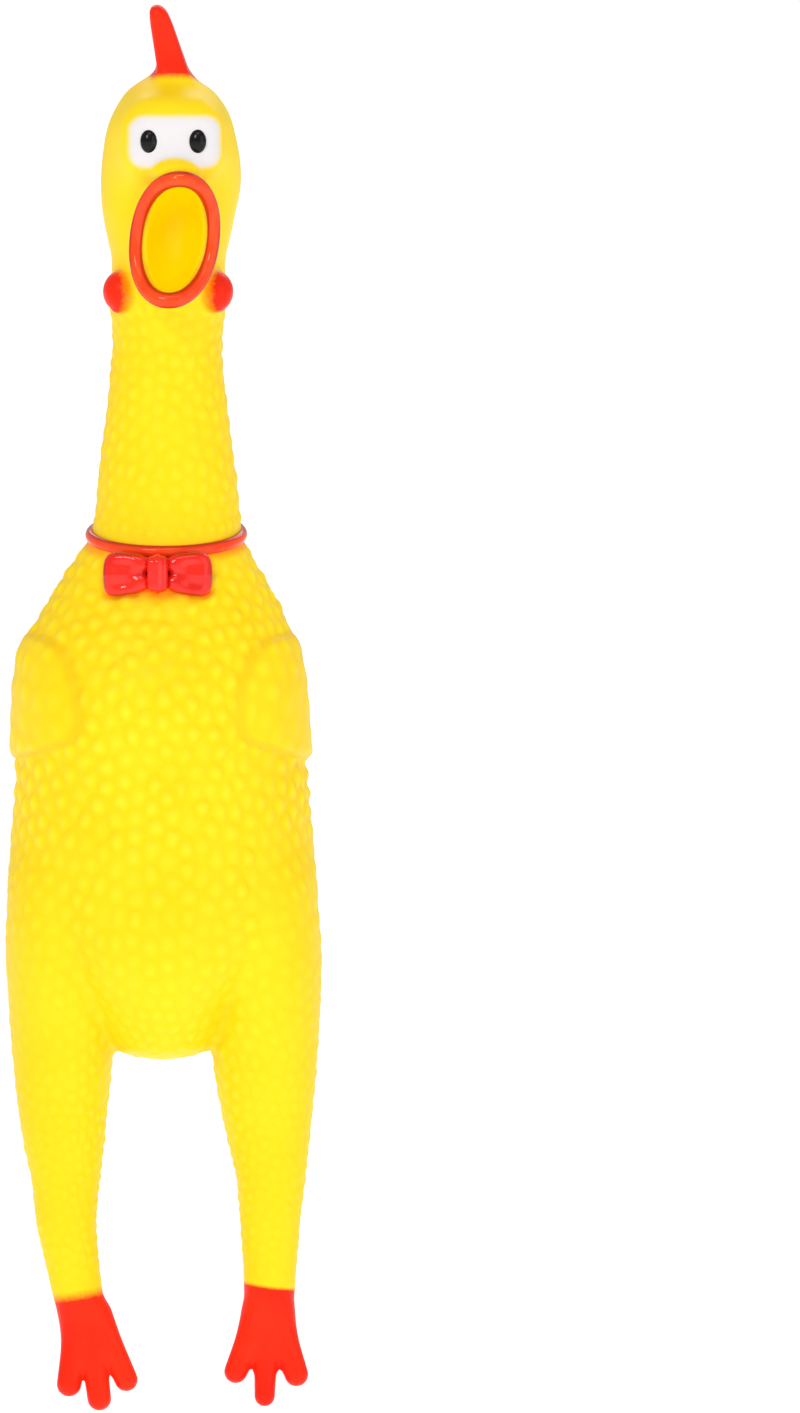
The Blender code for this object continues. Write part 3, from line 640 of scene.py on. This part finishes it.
def paint_masks(x, y, z, names):
    """How much of each paint covers each point. Haze is the overspray round the bow, collar and lips. Crease
    is painted shade round each wing's edge, not paint.
    """
    side = np.abs(x - PATCH_MIDDLE[0]) - PATCH_HALF[0] + PATCH_CORNER
    tall = np.abs(z - PATCH_MIDDLE[1]) - PATCH_HALF[1] + PATCH_CORNER
    patch = np.hypot(np.maximum(side, 0), np.maximum(tall, 0)) - PATCH_CORNER
    patch += np.minimum(np.maximum(side, tall), 0)
    white = smoothstep(1.9, -1.5, patch) * smoothstep(-37.5, -40.5, y)
    white *= smoothstep(0.0, 1.0, bridge(x, y, z) + 0.2)
    edge = COMB_EDGE - 0.14 * (y + 30.0)
    red = smoothstep(-1.6, 2.2, z - edge) * smoothstep(3.2, 1.6, comb(x, y, z))
    # The left foot's paint has a crisp edge, and the right one's a soft edge
    foot_edge = np.where(x > 0, -140.6 - 0.13 * (x - 30.0), -143.0 + 0.16 * (x + 24.0))
    foot_soft = np.where(x > 0, 0.9, 2.8)
    red = np.maximum(red, smoothstep(foot_soft, -foot_soft, z - foot_edge))
    (spread, wattle_y, wattle_z), (faded, full) = WATTLE_PAINT
    for way in (1, -1):
        middle_x = WATTLE[0][0] + way * spread
        gap = np.sqrt((x - middle_x) ** 2 + (y - wattle_y) ** 2 + (z - wattle_z) ** 2)
        red = np.maximum(red, smoothstep(faded, full, gap))
    amber = np.where(names == "mouth_lining", 1.0, 0.0)
    red = red * (1 - amber)
    beside = np.maximum(np.abs(x - BOW[0]) - BOW_HAZE[0], 0.0)
    above = np.maximum(np.abs(z - BOW[2]) - BOW_HAZE[1], 0.0)
    haze = smoothstep(3.2, 0.0, np.hypot(beside, above)) * smoothstep(-24.0, -28.0, y) * 0.65
    band = np.abs(z - collar_height(y) + 0.8)
    haze = np.maximum(haze, smoothstep(3.6, 1.2, band) * smoothstep(20.0, 10.0, y) * 0.6)
    lips = np.abs(muzzle(x, y, z)) + np.maximum(y + 40.0, 0.0)
    haze = np.maximum(haze, smoothstep(2.6, 0.4, lips) * 0.35 * (z > 120.0))
    # Painted shade in the crease round each wing's edge
    crease = smoothstep(1.5, 0.2, np.abs(outline_distance(wing_outline, y, z)))
    crease *= smoothstep(16.0, 24.0, np.abs(x))
    return {"white": white, "red": red, "amber": amber, "haze": haze, "crease": crease}


# Materials


def new_material(name):
    material = bpy.data.materials.new(name)
    material.use_nodes = True
    nodes = material.node_tree.nodes
    return material, nodes, material.node_tree.links, nodes["Principled BSDF"]


def attribute(nodes, name):
    node = nodes.new("ShaderNodeAttribute")
    node.attribute_name = name
    return node


def noise(nodes, links, place, scale, detail=2.0, roughness=0.5):
    node = nodes.new("ShaderNodeTexNoise")
    node.inputs["Scale"].default_value = scale
    node.inputs["Detail"].default_value = detail
    node.inputs["Roughness"].default_value = roughness
    links.new(place, node.inputs["Vector"])
    return node.outputs["Fac"]


def mixed(nodes, links, share, first, second):
    """A colour mix. Each colour is a socket or a plain colour."""
    node = nodes.new("ShaderNodeMix")
    node.data_type = "RGBA"
    links.new(share, node.inputs["Factor"])
    for value, socket in ((first, node.inputs[6]), (second, node.inputs[7])):
        if isinstance(value, tuple):
            socket.default_value = (*value, 1.0)
        else:
            links.new(value, socket)
    return node.outputs[2]


def ramp(nodes, links, value, low, high, bottom=0.0, top=1.0):
    node = nodes.new("ShaderNodeMapRange")
    node.inputs["From Min"].default_value = low
    node.inputs["From Max"].default_value = high
    node.inputs["To Min"].default_value = bottom
    node.inputs["To Max"].default_value = top
    links.new(value, node.inputs["Value"])
    return node.outputs["Result"]


def combined(nodes, links, operation, first, second):
    node = nodes.new("ShaderNodeMath")
    node.operation = operation
    for value, socket in ((first, node.inputs[0]), (second, node.inputs[1])):
        if isinstance(value, float):
            socket.default_value = value
        else:
            links.new(value, socket)
    return node.outputs[0]


def bumped(nodes, links, shader, height, distance, strength=1.0):
    node = nodes.new("ShaderNodeBump")
    node.inputs["Distance"].default_value = distance
    node.inputs["Strength"].default_value = strength
    links.new(height, node.inputs["Height"])
    links.new(node.outputs["Normal"], shader.inputs["Normal"])


def finish_vinyl(shader):
    """What all the moulded vinyl shares."""
    shader.inputs["Specular IOR Level"].default_value = 0.12
    shader.inputs["IOR"].default_value = 1.45


# The skin's yellow runs from the paler one, painted highlight on the bump tops, to the plain one, painted
# shade in the grooves
YELLOW = (1.0, 0.68, 0.004)
HIGHLIGHT_YELLOW = (1.0, 0.77, 0.02)
DEEP_YELLOW = (1.0, 0.62, 0.002)
# Painted shade round the wings' edges
CREASE_SHADE_YELLOW = (0.85, 0.45, 0.002)
RED = (0.95, 0.032, 0.006)
DEEP_RED = (0.86, 0.016, 0.004)
# Painted shade in the dark lines on the collar, lips and bow
SHADE_LINE_RED = (0.38, 0.006, 0.004)
ORANGE = (1.0, 0.2, 0.004)
WHITE = (0.78, 0.75, 0.76)
AMBER = (1.0, 0.66, 0.0)
PALE_AMBER = (1.0, 0.78, 0.0)
LIP_REDS = ((1.0, 0.045, 0.006), (1.0, 0.085, 0.01))
BOW_REDS = ((0.78, 0.008, 0.003), (0.95, 0.02, 0.004))
PLASTIC_WHITES = ((0.86, 0.86, 0.83), (0.93, 0.93, 0.91))
FILM_GREYS = ((0.8, 0.83, 0.86), (0.9, 0.92, 0.95))


def skin_material():
    """Sprayed vinyl: yellow with painted shade in the grooves, painted highlight on the bump tops and
    painted shade round the wings, and soft-edged white, red and amber paint.
    """
    material, nodes, links, shader = new_material("painted_vinyl")
    finish_vinyl(shader)
    rest = attribute(nodes, "rest").outputs["Vector"]
    wide = noise(nodes, links, rest, 45.0, 3.0)
    fine = noise(nodes, links, rest, 900.0, 2.0)
    grain = noise(nodes, links, rest, 2600.0, 2.0, 0.6)
    groove_shade = attribute(nodes, "groove_shade").outputs["Fac"]
    # Painted highlight on the bump tops, painted shade in the grooves between them
    body = mixed(nodes, links, groove_shade, HIGHLIGHT_YELLOW, YELLOW)
    body = mixed(nodes, links, ramp(nodes, links, wide, 0.4, 0.75, 0.0, 0.45), body, DEEP_YELLOW)
    # Painted shade round each wing's edge
    crease = combined(nodes, links, "MULTIPLY", attribute(nodes, "crease").outputs["Fac"], 0.38)
    body = mixed(nodes, links, crease, body, CREASE_SHADE_YELLOW)
    speckle = ramp(nodes, links, fine, 0.3, 0.7, -0.05, 0.05)
    white = sprayed(nodes, links, "white", speckle)
    red = sprayed(nodes, links, "red", speckle)
    amber = attribute(nodes, "amber").outputs["Fac"]
    body = mixed(nodes, links, white, body, WHITE)
    haze = combined(nodes, links, "ADD", attribute(nodes, "haze").outputs["Fac"], speckle)
    body = mixed(nodes, links, ramp(nodes, links, haze, 0.05, 1.0), body, ORANGE)
    scarlet = mixed(nodes, links, ramp(nodes, links, wide, 0.3, 0.75), DEEP_RED, RED)
    scarlet = mixed(nodes, links, ramp(nodes, links, red, 0.2, 1.0), ORANGE, scarlet)
    body = mixed(nodes, links, red, body, scarlet)
    mouth = mixed(nodes, links, ramp(nodes, links, wide, 0.3, 0.7), AMBER, PALE_AMBER)
    body = mixed(nodes, links, amber, body, mouth)
    links.new(body, shader.inputs["Base Color"])
    gloss = ramp(nodes, links, fine, 0.3, 0.7, 0.34, 0.46)
    glossier = combined(nodes, links, "MULTIPLY", red, 0.08)
    links.new(combined(nodes, links, "SUBTRACT", gloss, glossier), shader.inputs["Roughness"])
    relief = combined(nodes, links, "MULTIPLY", fine, 0.6)
    bumped(nodes, links, shader, combined(nodes, links, "ADD", grain, relief), 0.00006, 0.7)
    return material


def sprayed(nodes, links, name, speckle):
    """A paint mask whose edge is broken up by fine spray."""
    mask = attribute(nodes, name).outputs["Fac"]
    return ramp(nodes, links, combined(nodes, links, "ADD", mask, speckle), 0.12, 0.88)


def gloss_red_material(name, colour, other, coat):
    """The thicker, glossier red of the collar, bow and lips."""
    material, nodes, links, shader = new_material(name)
    finish_vinyl(shader)
    place = nodes.new("ShaderNodeTexCoord").outputs["Object"]
    wide = noise(nodes, links, place, 120.0, 3.0)
    fine = noise(nodes, links, place, 1500.0, 2.0)
    scarlet = mixed(nodes, links, ramp(nodes, links, wide, 0.3, 0.7), colour, other)
    # Painted shade: a darker line along the collar's top, the lips' inner and outer edges, and the bow's
    # rims and folds
    shade = combined(nodes, links, "MULTIPLY", attribute(nodes, "shade").outputs["Fac"], 0.85)
    links.new(mixed(nodes, links, shade, scarlet, SHADE_LINE_RED), shader.inputs["Base Color"])
    links.new(ramp(nodes, links, fine, 0.3, 0.7, 0.14, 0.24), shader.inputs["Roughness"])
    relief = combined(nodes, links, "MULTIPLY", fine, 0.12)
    bumped(nodes, links, shader, combined(nodes, links, "ADD", wide, relief), 0.0002, 0.5)
    shader.inputs["Specular IOR Level"].default_value = 0.1
    shader.inputs["Coat Weight"].default_value = coat
    shader.inputs["Coat Roughness"].default_value = 0.05
    return material


def pupil_material():
    material, nodes, links, shader = new_material("glossy_black_paint")
    place = nodes.new("ShaderNodeTexCoord").outputs["Object"]
    fine = noise(nodes, links, place, 700.0, 2.0)
    black = mixed(nodes, links, fine, (0.001, 0.001, 0.0015), (0.003, 0.003, 0.004))
    links.new(black, shader.inputs["Base Color"])
    links.new(ramp(nodes, links, fine, 0.3, 0.7, 0.1, 0.18), shader.inputs["Roughness"])
    bumped(nodes, links, shader, fine, 0.00005, 0.3)
    shader.inputs["Specular IOR Level"].default_value = 0.12
    shader.inputs["Coat Weight"].default_value = 0.25
    shader.inputs["Coat Roughness"].default_value = 0.03
    return material


def plastic_material(name, colour, other, rough, see_through=False):
    """Injection-moulded plastic with faint flow marks."""
    material, nodes, links, shader = new_material(name)
    place = nodes.new("ShaderNodeTexCoord").outputs["Object"]
    flow = noise(nodes, links, place, 220.0, 4.0)
    fine = noise(nodes, links, place, 3000.0, 2.0)
    marked = mixed(nodes, links, ramp(nodes, links, flow, 0.3, 0.7), colour, other)
    links.new(marked, shader.inputs["Base Color"])
    links.new(ramp(nodes, links, flow, 0.3, 0.7, rough, rough + 0.12), shader.inputs["Roughness"])
    bumped(nodes, links, shader, fine, 0.00004, 0.5)
    if see_through:
        shader.inputs["Transmission Weight"].default_value = 0.6
    return material


# Pieces


def new_piece(name, points, faces, materials, attributes=None, normals=None):
    """A mesh object from points in mm."""
    mesh = bpy.data.meshes.new(name)
    mesh.vertices.add(len(points))
    mesh.vertices.foreach_set("co", (np.asarray(points, np.float32) * MM).ravel())
    mesh.loops.add(faces.size)
    mesh.loops.foreach_set("vertex_index", faces.astype(np.int32).ravel())
    mesh.polygons.add(len(faces))
    mesh.polygons.foreach_set("loop_start", np.arange(0, faces.size, faces.shape[1], dtype=np.int32))
    mesh.update(calc_edges=True)
    mesh.shade_smooth()
    for key, values in (attributes or {}).items():
        if values.ndim == 2:
            layer = mesh.attributes.new(key, "FLOAT_VECTOR", "POINT")
            layer.data.foreach_set("vector", values.astype(np.float32).ravel())
        else:
            layer = mesh.attributes.new(key, "FLOAT", "POINT")
            layer.data.foreach_set("value", values.astype(np.float32))
    if normals is not None:
        mesh.normals_split_custom_set_from_vertices(normals)
    for material in materials:
        mesh.materials.append(material)
    obj = bpy.data.objects.new(name, mesh)
    bpy.context.scene.collection.objects.link(obj)
    return obj


def make_skin(material):
    """The whole skin, divided into its pieces. Returns them by name."""
    make_grid()
    points, quads = meshed()
    normals = normals_of(points, quads)
    x, y, z = points.T
    outward = np.sum(normals * (points - points.mean(0)), axis=1).mean()
    if outward < 0:
        quads = quads[:, ::-1]
        normals = -normals
    names = labels_at(x, y, z)
    raised, groove_shade = add_bumps(points, normals, names)
    normals = normals_of(raised, quads)
    masks = paint_masks(x, y, z, names)
    masks["groove_shade"] = groove_shade
    masks["rest"] = points * MM
    middles = points[quads].mean(axis=1)
    face_names = labels_at(*middles.T)
    made = {}
    for name in sorted(set(face_names)):
        chosen = quads[face_names == name]
        used, index = np.unique(chosen, return_inverse=True)
        made[name] = new_piece(
            name.replace("_skin", "_vinyl"),
            raised[used],
            index.reshape(-1, 4),
            [material],
            {key: values[used] for key, values in masks.items()},
            normals[used],
        )
    return made


def sweep(name, path, sections, material, shaded):
    """A closed bar along a path. Each section is its outward direction, and half its depth and height.

    A darker line of painted shade lies at the shaded angles, which are counted from outward towards up.
    """
    count = len(path)
    around = 20
    points, dark = [], []
    for i in range(count):
        ahead = path[(i + 1) % count] - path[(i - 1) % count]
        ahead = ahead / np.linalg.norm(ahead)
        out, half_out, half_up = sections(i, path[i])
        out = out - ahead * (out @ ahead)
        out = out / np.linalg.norm(out)
        up = np.cross(out, ahead)
        if up[2] < 0 and abs(ahead[2]) < 0.5 and len(shaded) == 1:
            up = -up
        for j in range(around):
            angle = math.tau * j / around
            points.append(path[i] + out * math.cos(angle) * half_out + up * math.sin(angle) * half_up)
            dark.append(max(math.cos(angle - line) for line in shaded))
    faces = []
    for i in range(count):
        here, there = i * around, (i + 1) % count * around
        for j in range(around):
            k = (j + 1) % around
            faces.append((here + j, here + k, there + k, there + j))
    shade = smoothstep(0.5, 0.93, np.array(dark))
    return new_piece(name, np.array(points), np.array(faces), [material], {"shade": shade})


def lip_point(angle):
    middle_y, middle_z, radius = LIP_ARC
    up, side = math.cos(angle), math.sin(angle)
    z = MOUTH_HEIGHT + LIP_HALF[1] * math.copysign(abs(up) ** (2 / BEAK_FULLNESS), up)
    x = mouth_middle(z) + LIP_HALF[0] * math.copysign(abs(side) ** (2 / BEAK_FULLNESS), side)
    y = middle_y + math.sqrt(max(radius**2 - (z - middle_z) ** 2, 0.0)) - 0.4
    return np.array((x, y, z))


def make_lips(material):
    count = 120
    path = [lip_point(math.tau * i / count) for i in range(count)]

    def section(i, place):
        out = place - np.array((MOUTH_X, place[1], MOUTH_HEIGHT))
        thick = LIP_TUBE[0] + (LIP_TUBE[1] - LIP_TUBE[0]) * math.cos(math.tau * i / count) ** 2
        return out, thick, thick

    return sweep("lips_vinyl", path, section, material, (0.0, math.pi))


def neck_surface(angle):
    """Where the collar lies round the neck."""
    place = np.array((0.0, NECK_Y, COLLAR_HEIGHT))
    for _ in range(6):
        z = collar_height(place[1])
        cx, cy, ratio, area = (float(np.interp(z, trunk_loft.at, value)) for value in trunk_loft.values)
        width = math.sqrt(area / ratio)
        place = np.array((cx + width * math.cos(angle), cy + width * ratio * math.sin(angle), z))
    return place


def make_collar(material):
    count = 160
    path = [neck_surface(math.tau * i / count) for i in range(count)]

    def section(i, place):
        return place - np.array((NECK_X, NECK_Y, place[2])), *COLLAR_HALF

    return sweep("collar_vinyl", path, section, material, (math.radians(85),))


def local_mesh(name, field, low, high, voxel, material, shade=None):
    """A piece meshed from its own field at its own finer size. Shade says where painted shade darkens it."""
    low = np.array(low)
    shape = np.ceil((np.array(high) - low) / voxel).astype(int)
    axes = [low[i] + voxel * np.arange(shape[i]) for i in range(3)]
    places = np.meshgrid(*axes, indexing="ij", sparse=True)
    limit = 3 * voxel
    values = np.clip(np.broadcast_to(field(*places), shape), -limit, limit).astype(np.float32)
    volume = openvdb.FloatGrid(background=limit)
    volume.copyFromArray(np.ascontiguousarray(values), tolerance=0.0)
    points, quads = volume.convertToQuads(isovalue=0.0)
    points = points * voxel + low
    normals = normals_of(points, quads)
    if np.sum(normals * (points - points.mean(0)), axis=1).mean() < 0:
        quads = quads[:, ::-1]
    attributes = {"shade": shade(*points.T)} if shade else None
    return new_piece(name, points, quads, [material], attributes)


def bow_loop(side, x, y, z):
    """One loop of the bow: a puffed pad that flares away from the knot and wraps round the neck."""
    out = side * (x - BOW[0])
    reach = np.clip(out / LOOP_REACH, 0.0, 1.0)
    wrap = 0.75 * (out / 10.0) ** 2
    drop = -0.6 * reach * reach
    half_x, knot_z, more_z = LOOP_HALF
    half_z = knot_z + more_z * reach
    half_y = 2.7 + 0.4 * reach
    px = (out - LOOP_MIDDLE) / half_x
    pz = (z - BOW[2] - 0.5 - drop) / half_z
    py = (y - (BOW[1] + 1.6 + wrap)) / half_y
    crease = 0.7 * np.exp(-((pz * 4.0) ** 2)) * np.clip(0.75 - px, 0.0, 1.0)
    dish = 0.75 * np.exp(-(((px - 0.15) / 0.5) ** 2) - (((np.abs(pz) - 0.4) / 0.28) ** 2))
    near = (np.abs(px) ** 3.4 + np.abs(py) ** 2.2 + np.abs(pz) ** 3.4) ** (1 / 2.7)
    return (near - 1) * 2.6 + crease + dish


def bow_shade_line(side, x, y, z):
    """Painted shade round the rim of each loop and in its folds at the knot."""
    out = side * (x - BOW[0])
    reach = np.clip(out / LOOP_REACH, 0.0, 1.0)
    half_x, knot_z, more_z = LOOP_HALF
    px = np.abs(out - LOOP_MIDDLE) / half_x
    pz = np.abs(z - BOW[2] - 0.5 + 0.6 * reach * reach) / (knot_z + more_z * reach)
    rim = smoothstep(0.82, 0.97, np.maximum(px, pz))
    fold = 0.6 * np.exp(-((pz / 0.16) ** 2)) * smoothstep(7.0, 3.5, out)
    return np.maximum(rim, fold)


def bow_knot(x, y, z):
    pinch = 0.35 * np.cos((x - BOW[0]) * 2.6) * np.exp(-(((x - BOW[0]) / 3.2) ** 2))
    return rounded_box((BOW[0], BOW[1] + 0.4, BOW[2] + 0.4), (3.0, 3.5, 5.5), 2.6, x, y, z) - pinch * 0.6


def make_bow(material):
    made = {}
    for side, word in ((1, "left"), (-1, "right")):
        low_x = BOW[0] + (0.5 if side > 0 else -20.0)
        made[f"bow_loop_{word}"] = local_mesh(
            f"bow_loop_vinyl_{word}",
            lambda x, y, z: bow_loop(side, x, y, z),
            (low_x, -46.0, 48.0),
            (low_x + 19.5, -24.0, 72.0),
            0.3,
            material,
            lambda x, y, z: bow_shade_line(side, x, y, z),
        )
    made["bow_knot"] = local_mesh(
        "bow_knot_vinyl", bow_knot, (-8.0, -44.0, 50.0), (6.0, -28.0, 70.0), 0.25, material
    )
    return made


def make_pupils(material):
    made = {}
    for side, word in ((1, "left"), (-1, "right")):
        centre = (EYE_MIDDLE[0] + side * EYE_SPREAD, EYE_MIDDLE[1], EYE_MIDDLE[2])
        made[f"eye_{word}"] = local_mesh(
            f"pupil_{word}",
            lambda x, y, z: ellipsoid(centre, PUPIL, x, y, z),
            np.subtract(centre, 5.0),
            np.add(centre, 5.0),
            0.2,
            material,
        )
    return made


# Floor, light and camera


def make_stage():
    """A plain pale floor, well below the hanging chicken."""
    reach, height = 12.0, -0.42
    corners = [(a * reach, b * reach, height) for a, b in ((-1, -1), (1, -1), (1, 1), (-1, 1))]
    material, nodes, links, shader = new_material("pale_floor")
    shader.inputs["Base Color"].default_value = (0.93, 0.93, 0.93, 1.0)
    shader.inputs["Roughness"].default_value = 0.9
    shader.inputs["Emission Color"].default_value = (1.0, 1.0, 1.0, 1.0)
    shader.inputs["Emission Strength"].default_value = 0.6
    new_piece("pale_floor", np.array(corners) / MM, np.array([(0, 1, 2, 3)]), [material])


def area_light(name, place, target, size, power):
    light = bpy.data.lights.new(name, "AREA")
    light.shape = "RECTANGLE"
    light.size, light.size_y = size
    light.energy = power
    obj = bpy.data.objects.new(name, light)
    obj.location = place
    obj.rotation_euler = (Vector(target) - Vector(place)).to_track_quat("-Z", "Y").to_euler()
    bpy.context.scene.collection.objects.link(obj)


def make_lights():
    world = bpy.data.worlds.new("white_room")
    world.use_nodes = True
    background = world.node_tree.nodes["Background"]
    background.inputs["Color"].default_value = (1.0, 1.0, 1.0, 1.0)
    given, seen = 0.55, 1.1  # how strongly the room lights the chicken, and how white it looks behind it
    light_path = world.node_tree.nodes.new("ShaderNodeLightPath")
    strength = world.node_tree.nodes.new("ShaderNodeMapRange")
    strength.inputs["To Min"].default_value = given
    strength.inputs["To Max"].default_value = seen
    world.node_tree.links.new(light_path.outputs["Is Camera Ray"], strength.inputs["Value"])
    world.node_tree.links.new(strength.outputs["Result"], background.inputs["Strength"])
    bpy.context.scene.world = world
    middle = (0.0, 0.0, 0.02)
    area_light("key", (-0.55, -1.4, 0.9), middle, (0.45, 0.45), 7.0)
    area_light("fill", (1.1, -1.0, 0.3), middle, (1.0, 1.2), 3.0)
    area_light("forehead", (0.1, -1.0, 1.3), (0.0, -0.03, 0.2), (0.7, 0.5), 2.2)
    area_light("rim", (0.2, 1.0, 0.9), middle, (1.2, 0.6), 4.0)
    bpy.context.scene.view_settings.view_transform = "Standard"


def make_camera():
    """Looks down 3 degrees at the chicken's front. It stands left of the middle of an upright frame."""
    camera = bpy.data.cameras.new("camera")
    frame_height = 0.4004
    distance = 5.0
    camera.lens = camera.sensor_width * distance / frame_height  # the sensor width is the long side
    camera.clip_end = 20.0
    obj = bpy.data.objects.new("camera", camera)
    elevation = math.radians(3.0)
    aim = Vector((0.0674, -0.010, 0.0238))
    obj.location = aim + Vector((0.0, -math.cos(elevation), math.sin(elevation))) * distance
    obj.rotation_euler = Euler((math.pi / 2 - elevation, 0.0, 0.0))
    bpy.context.scene.collection.objects.link(obj)
    bpy.context.scene.camera = obj


# Putting it together


def attach(skin):
    """Attaches each rigid piece to the body it rides with, leaves the bending pieces in place with their
    transform applied, and hides the modelled parts that each piece stands for.
    """

    def level(height, middle=(0.0, 0.0)):
        return (middle[0] * MM, middle[1] * MM, height * MM)

    bends = {
        "torso_skin": ("torso", "belly", (0, BELLY_BEND[0] * MM, 0), (0, BELLY_BEND[1] * MM, 0)),
        "neck_root": ("torso", "neck_lower", level(NECK_ROOT[0]), level(NECK_ROOT[1])),
        "neck_middle": ("neck_lower", "neck_upper", level(NECK_MIDDLE[0]), level(NECK_MIDDLE[1])),
        "throat": ("neck_upper", "head", level(THROAT[0]), level(THROAT[1])),
        "comb": ("head", "comb", level(COMB_BEND[0]), level(COMB_BEND[1])),
    }
    stands_for = {
        "torso_skin": ("torso_skin", "belly_panel"),
        "neck_root": ("neck_root_flex", "neck_skin_lower"),
        "neck_middle": ("neck_middle_flex", "neck_skin_upper"),
        "throat": ("throat_flex",),
        "head_skin": ("head_skin",),
        "comb": ("comb_root", "comb"),
        "mouth_lining": ("mouth_lining",),
    }
    for word in ("left", "right"):
        bends[f"wing_{word}"] = bends["torso_skin"]
        bends[f"thigh_{word}"] = ("torso", f"leg_{word}", level(HIP[0]), level(HIP[1]))
        bends[f"shank_{word}"] = (f"leg_{word}", f"foot_{word}", level(ANKLE[0]), level(ANKLE[1]))
        stands_for[f"thigh_{word}"] = (f"hip_flex_{word}", f"leg_skin_{word}")
        stands_for[f"shank_{word}"] = (f"ankle_flex_{word}",)
        stands_for[f"foot_{word}"] = (f"foot_{word}",)
        stands_for[f"wing_{word}"] = (f"wing_{word}",)
        stands_for[f"wattle_{word}"] = (f"wattle_{word}",)
    rides = {
        "head_skin": "head",
        "mouth_lining": "head",
        "foot_left": "foot_left",
        "foot_right": "foot_right",
        "wattle_left": "head",
        "wattle_right": "head",
    }
    for name, obj in skin.items():
        if name in bends:
            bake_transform(obj)
        else:
            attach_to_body(obj, rides[name])
        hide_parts(*stands_for[name])


def main():
    make_stage()
    make_lights()
    make_camera()
    skin = make_skin(skin_material())
    attach(skin)
    red = gloss_red_material("glossy_scarlet_paint", *LIP_REDS, 0.35)
    deep = gloss_red_material("glossy_crimson_paint", *BOW_REDS, 0.7)
    lips = make_lips(red)
    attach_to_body(lips, "head")
    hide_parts("beak_lips")
    collar = make_collar(red)
    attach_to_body(collar, "torso")
    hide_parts("collar_band")
    for node, obj in make_bow(deep).items():
        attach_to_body(obj, "torso")
        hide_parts(node)
    for node, obj in make_pupils(pupil_material()).items():
        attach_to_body(obj, "head")
        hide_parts(node)
    white = plastic_material("white_moulded_plastic", *PLASTIC_WHITES, 0.28)
    clear = plastic_material("clear_reed_film", *FILM_GREYS, 0.12, True)
    for name in ("squeaker_housing", "squeaker_cap", "reed_block", "reed_clamp", "reed_tongue"):
        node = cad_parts[name]
        node.data.materials.clear()
        node.data.materials.append(clear if name == "reed_tongue" else white)


main()
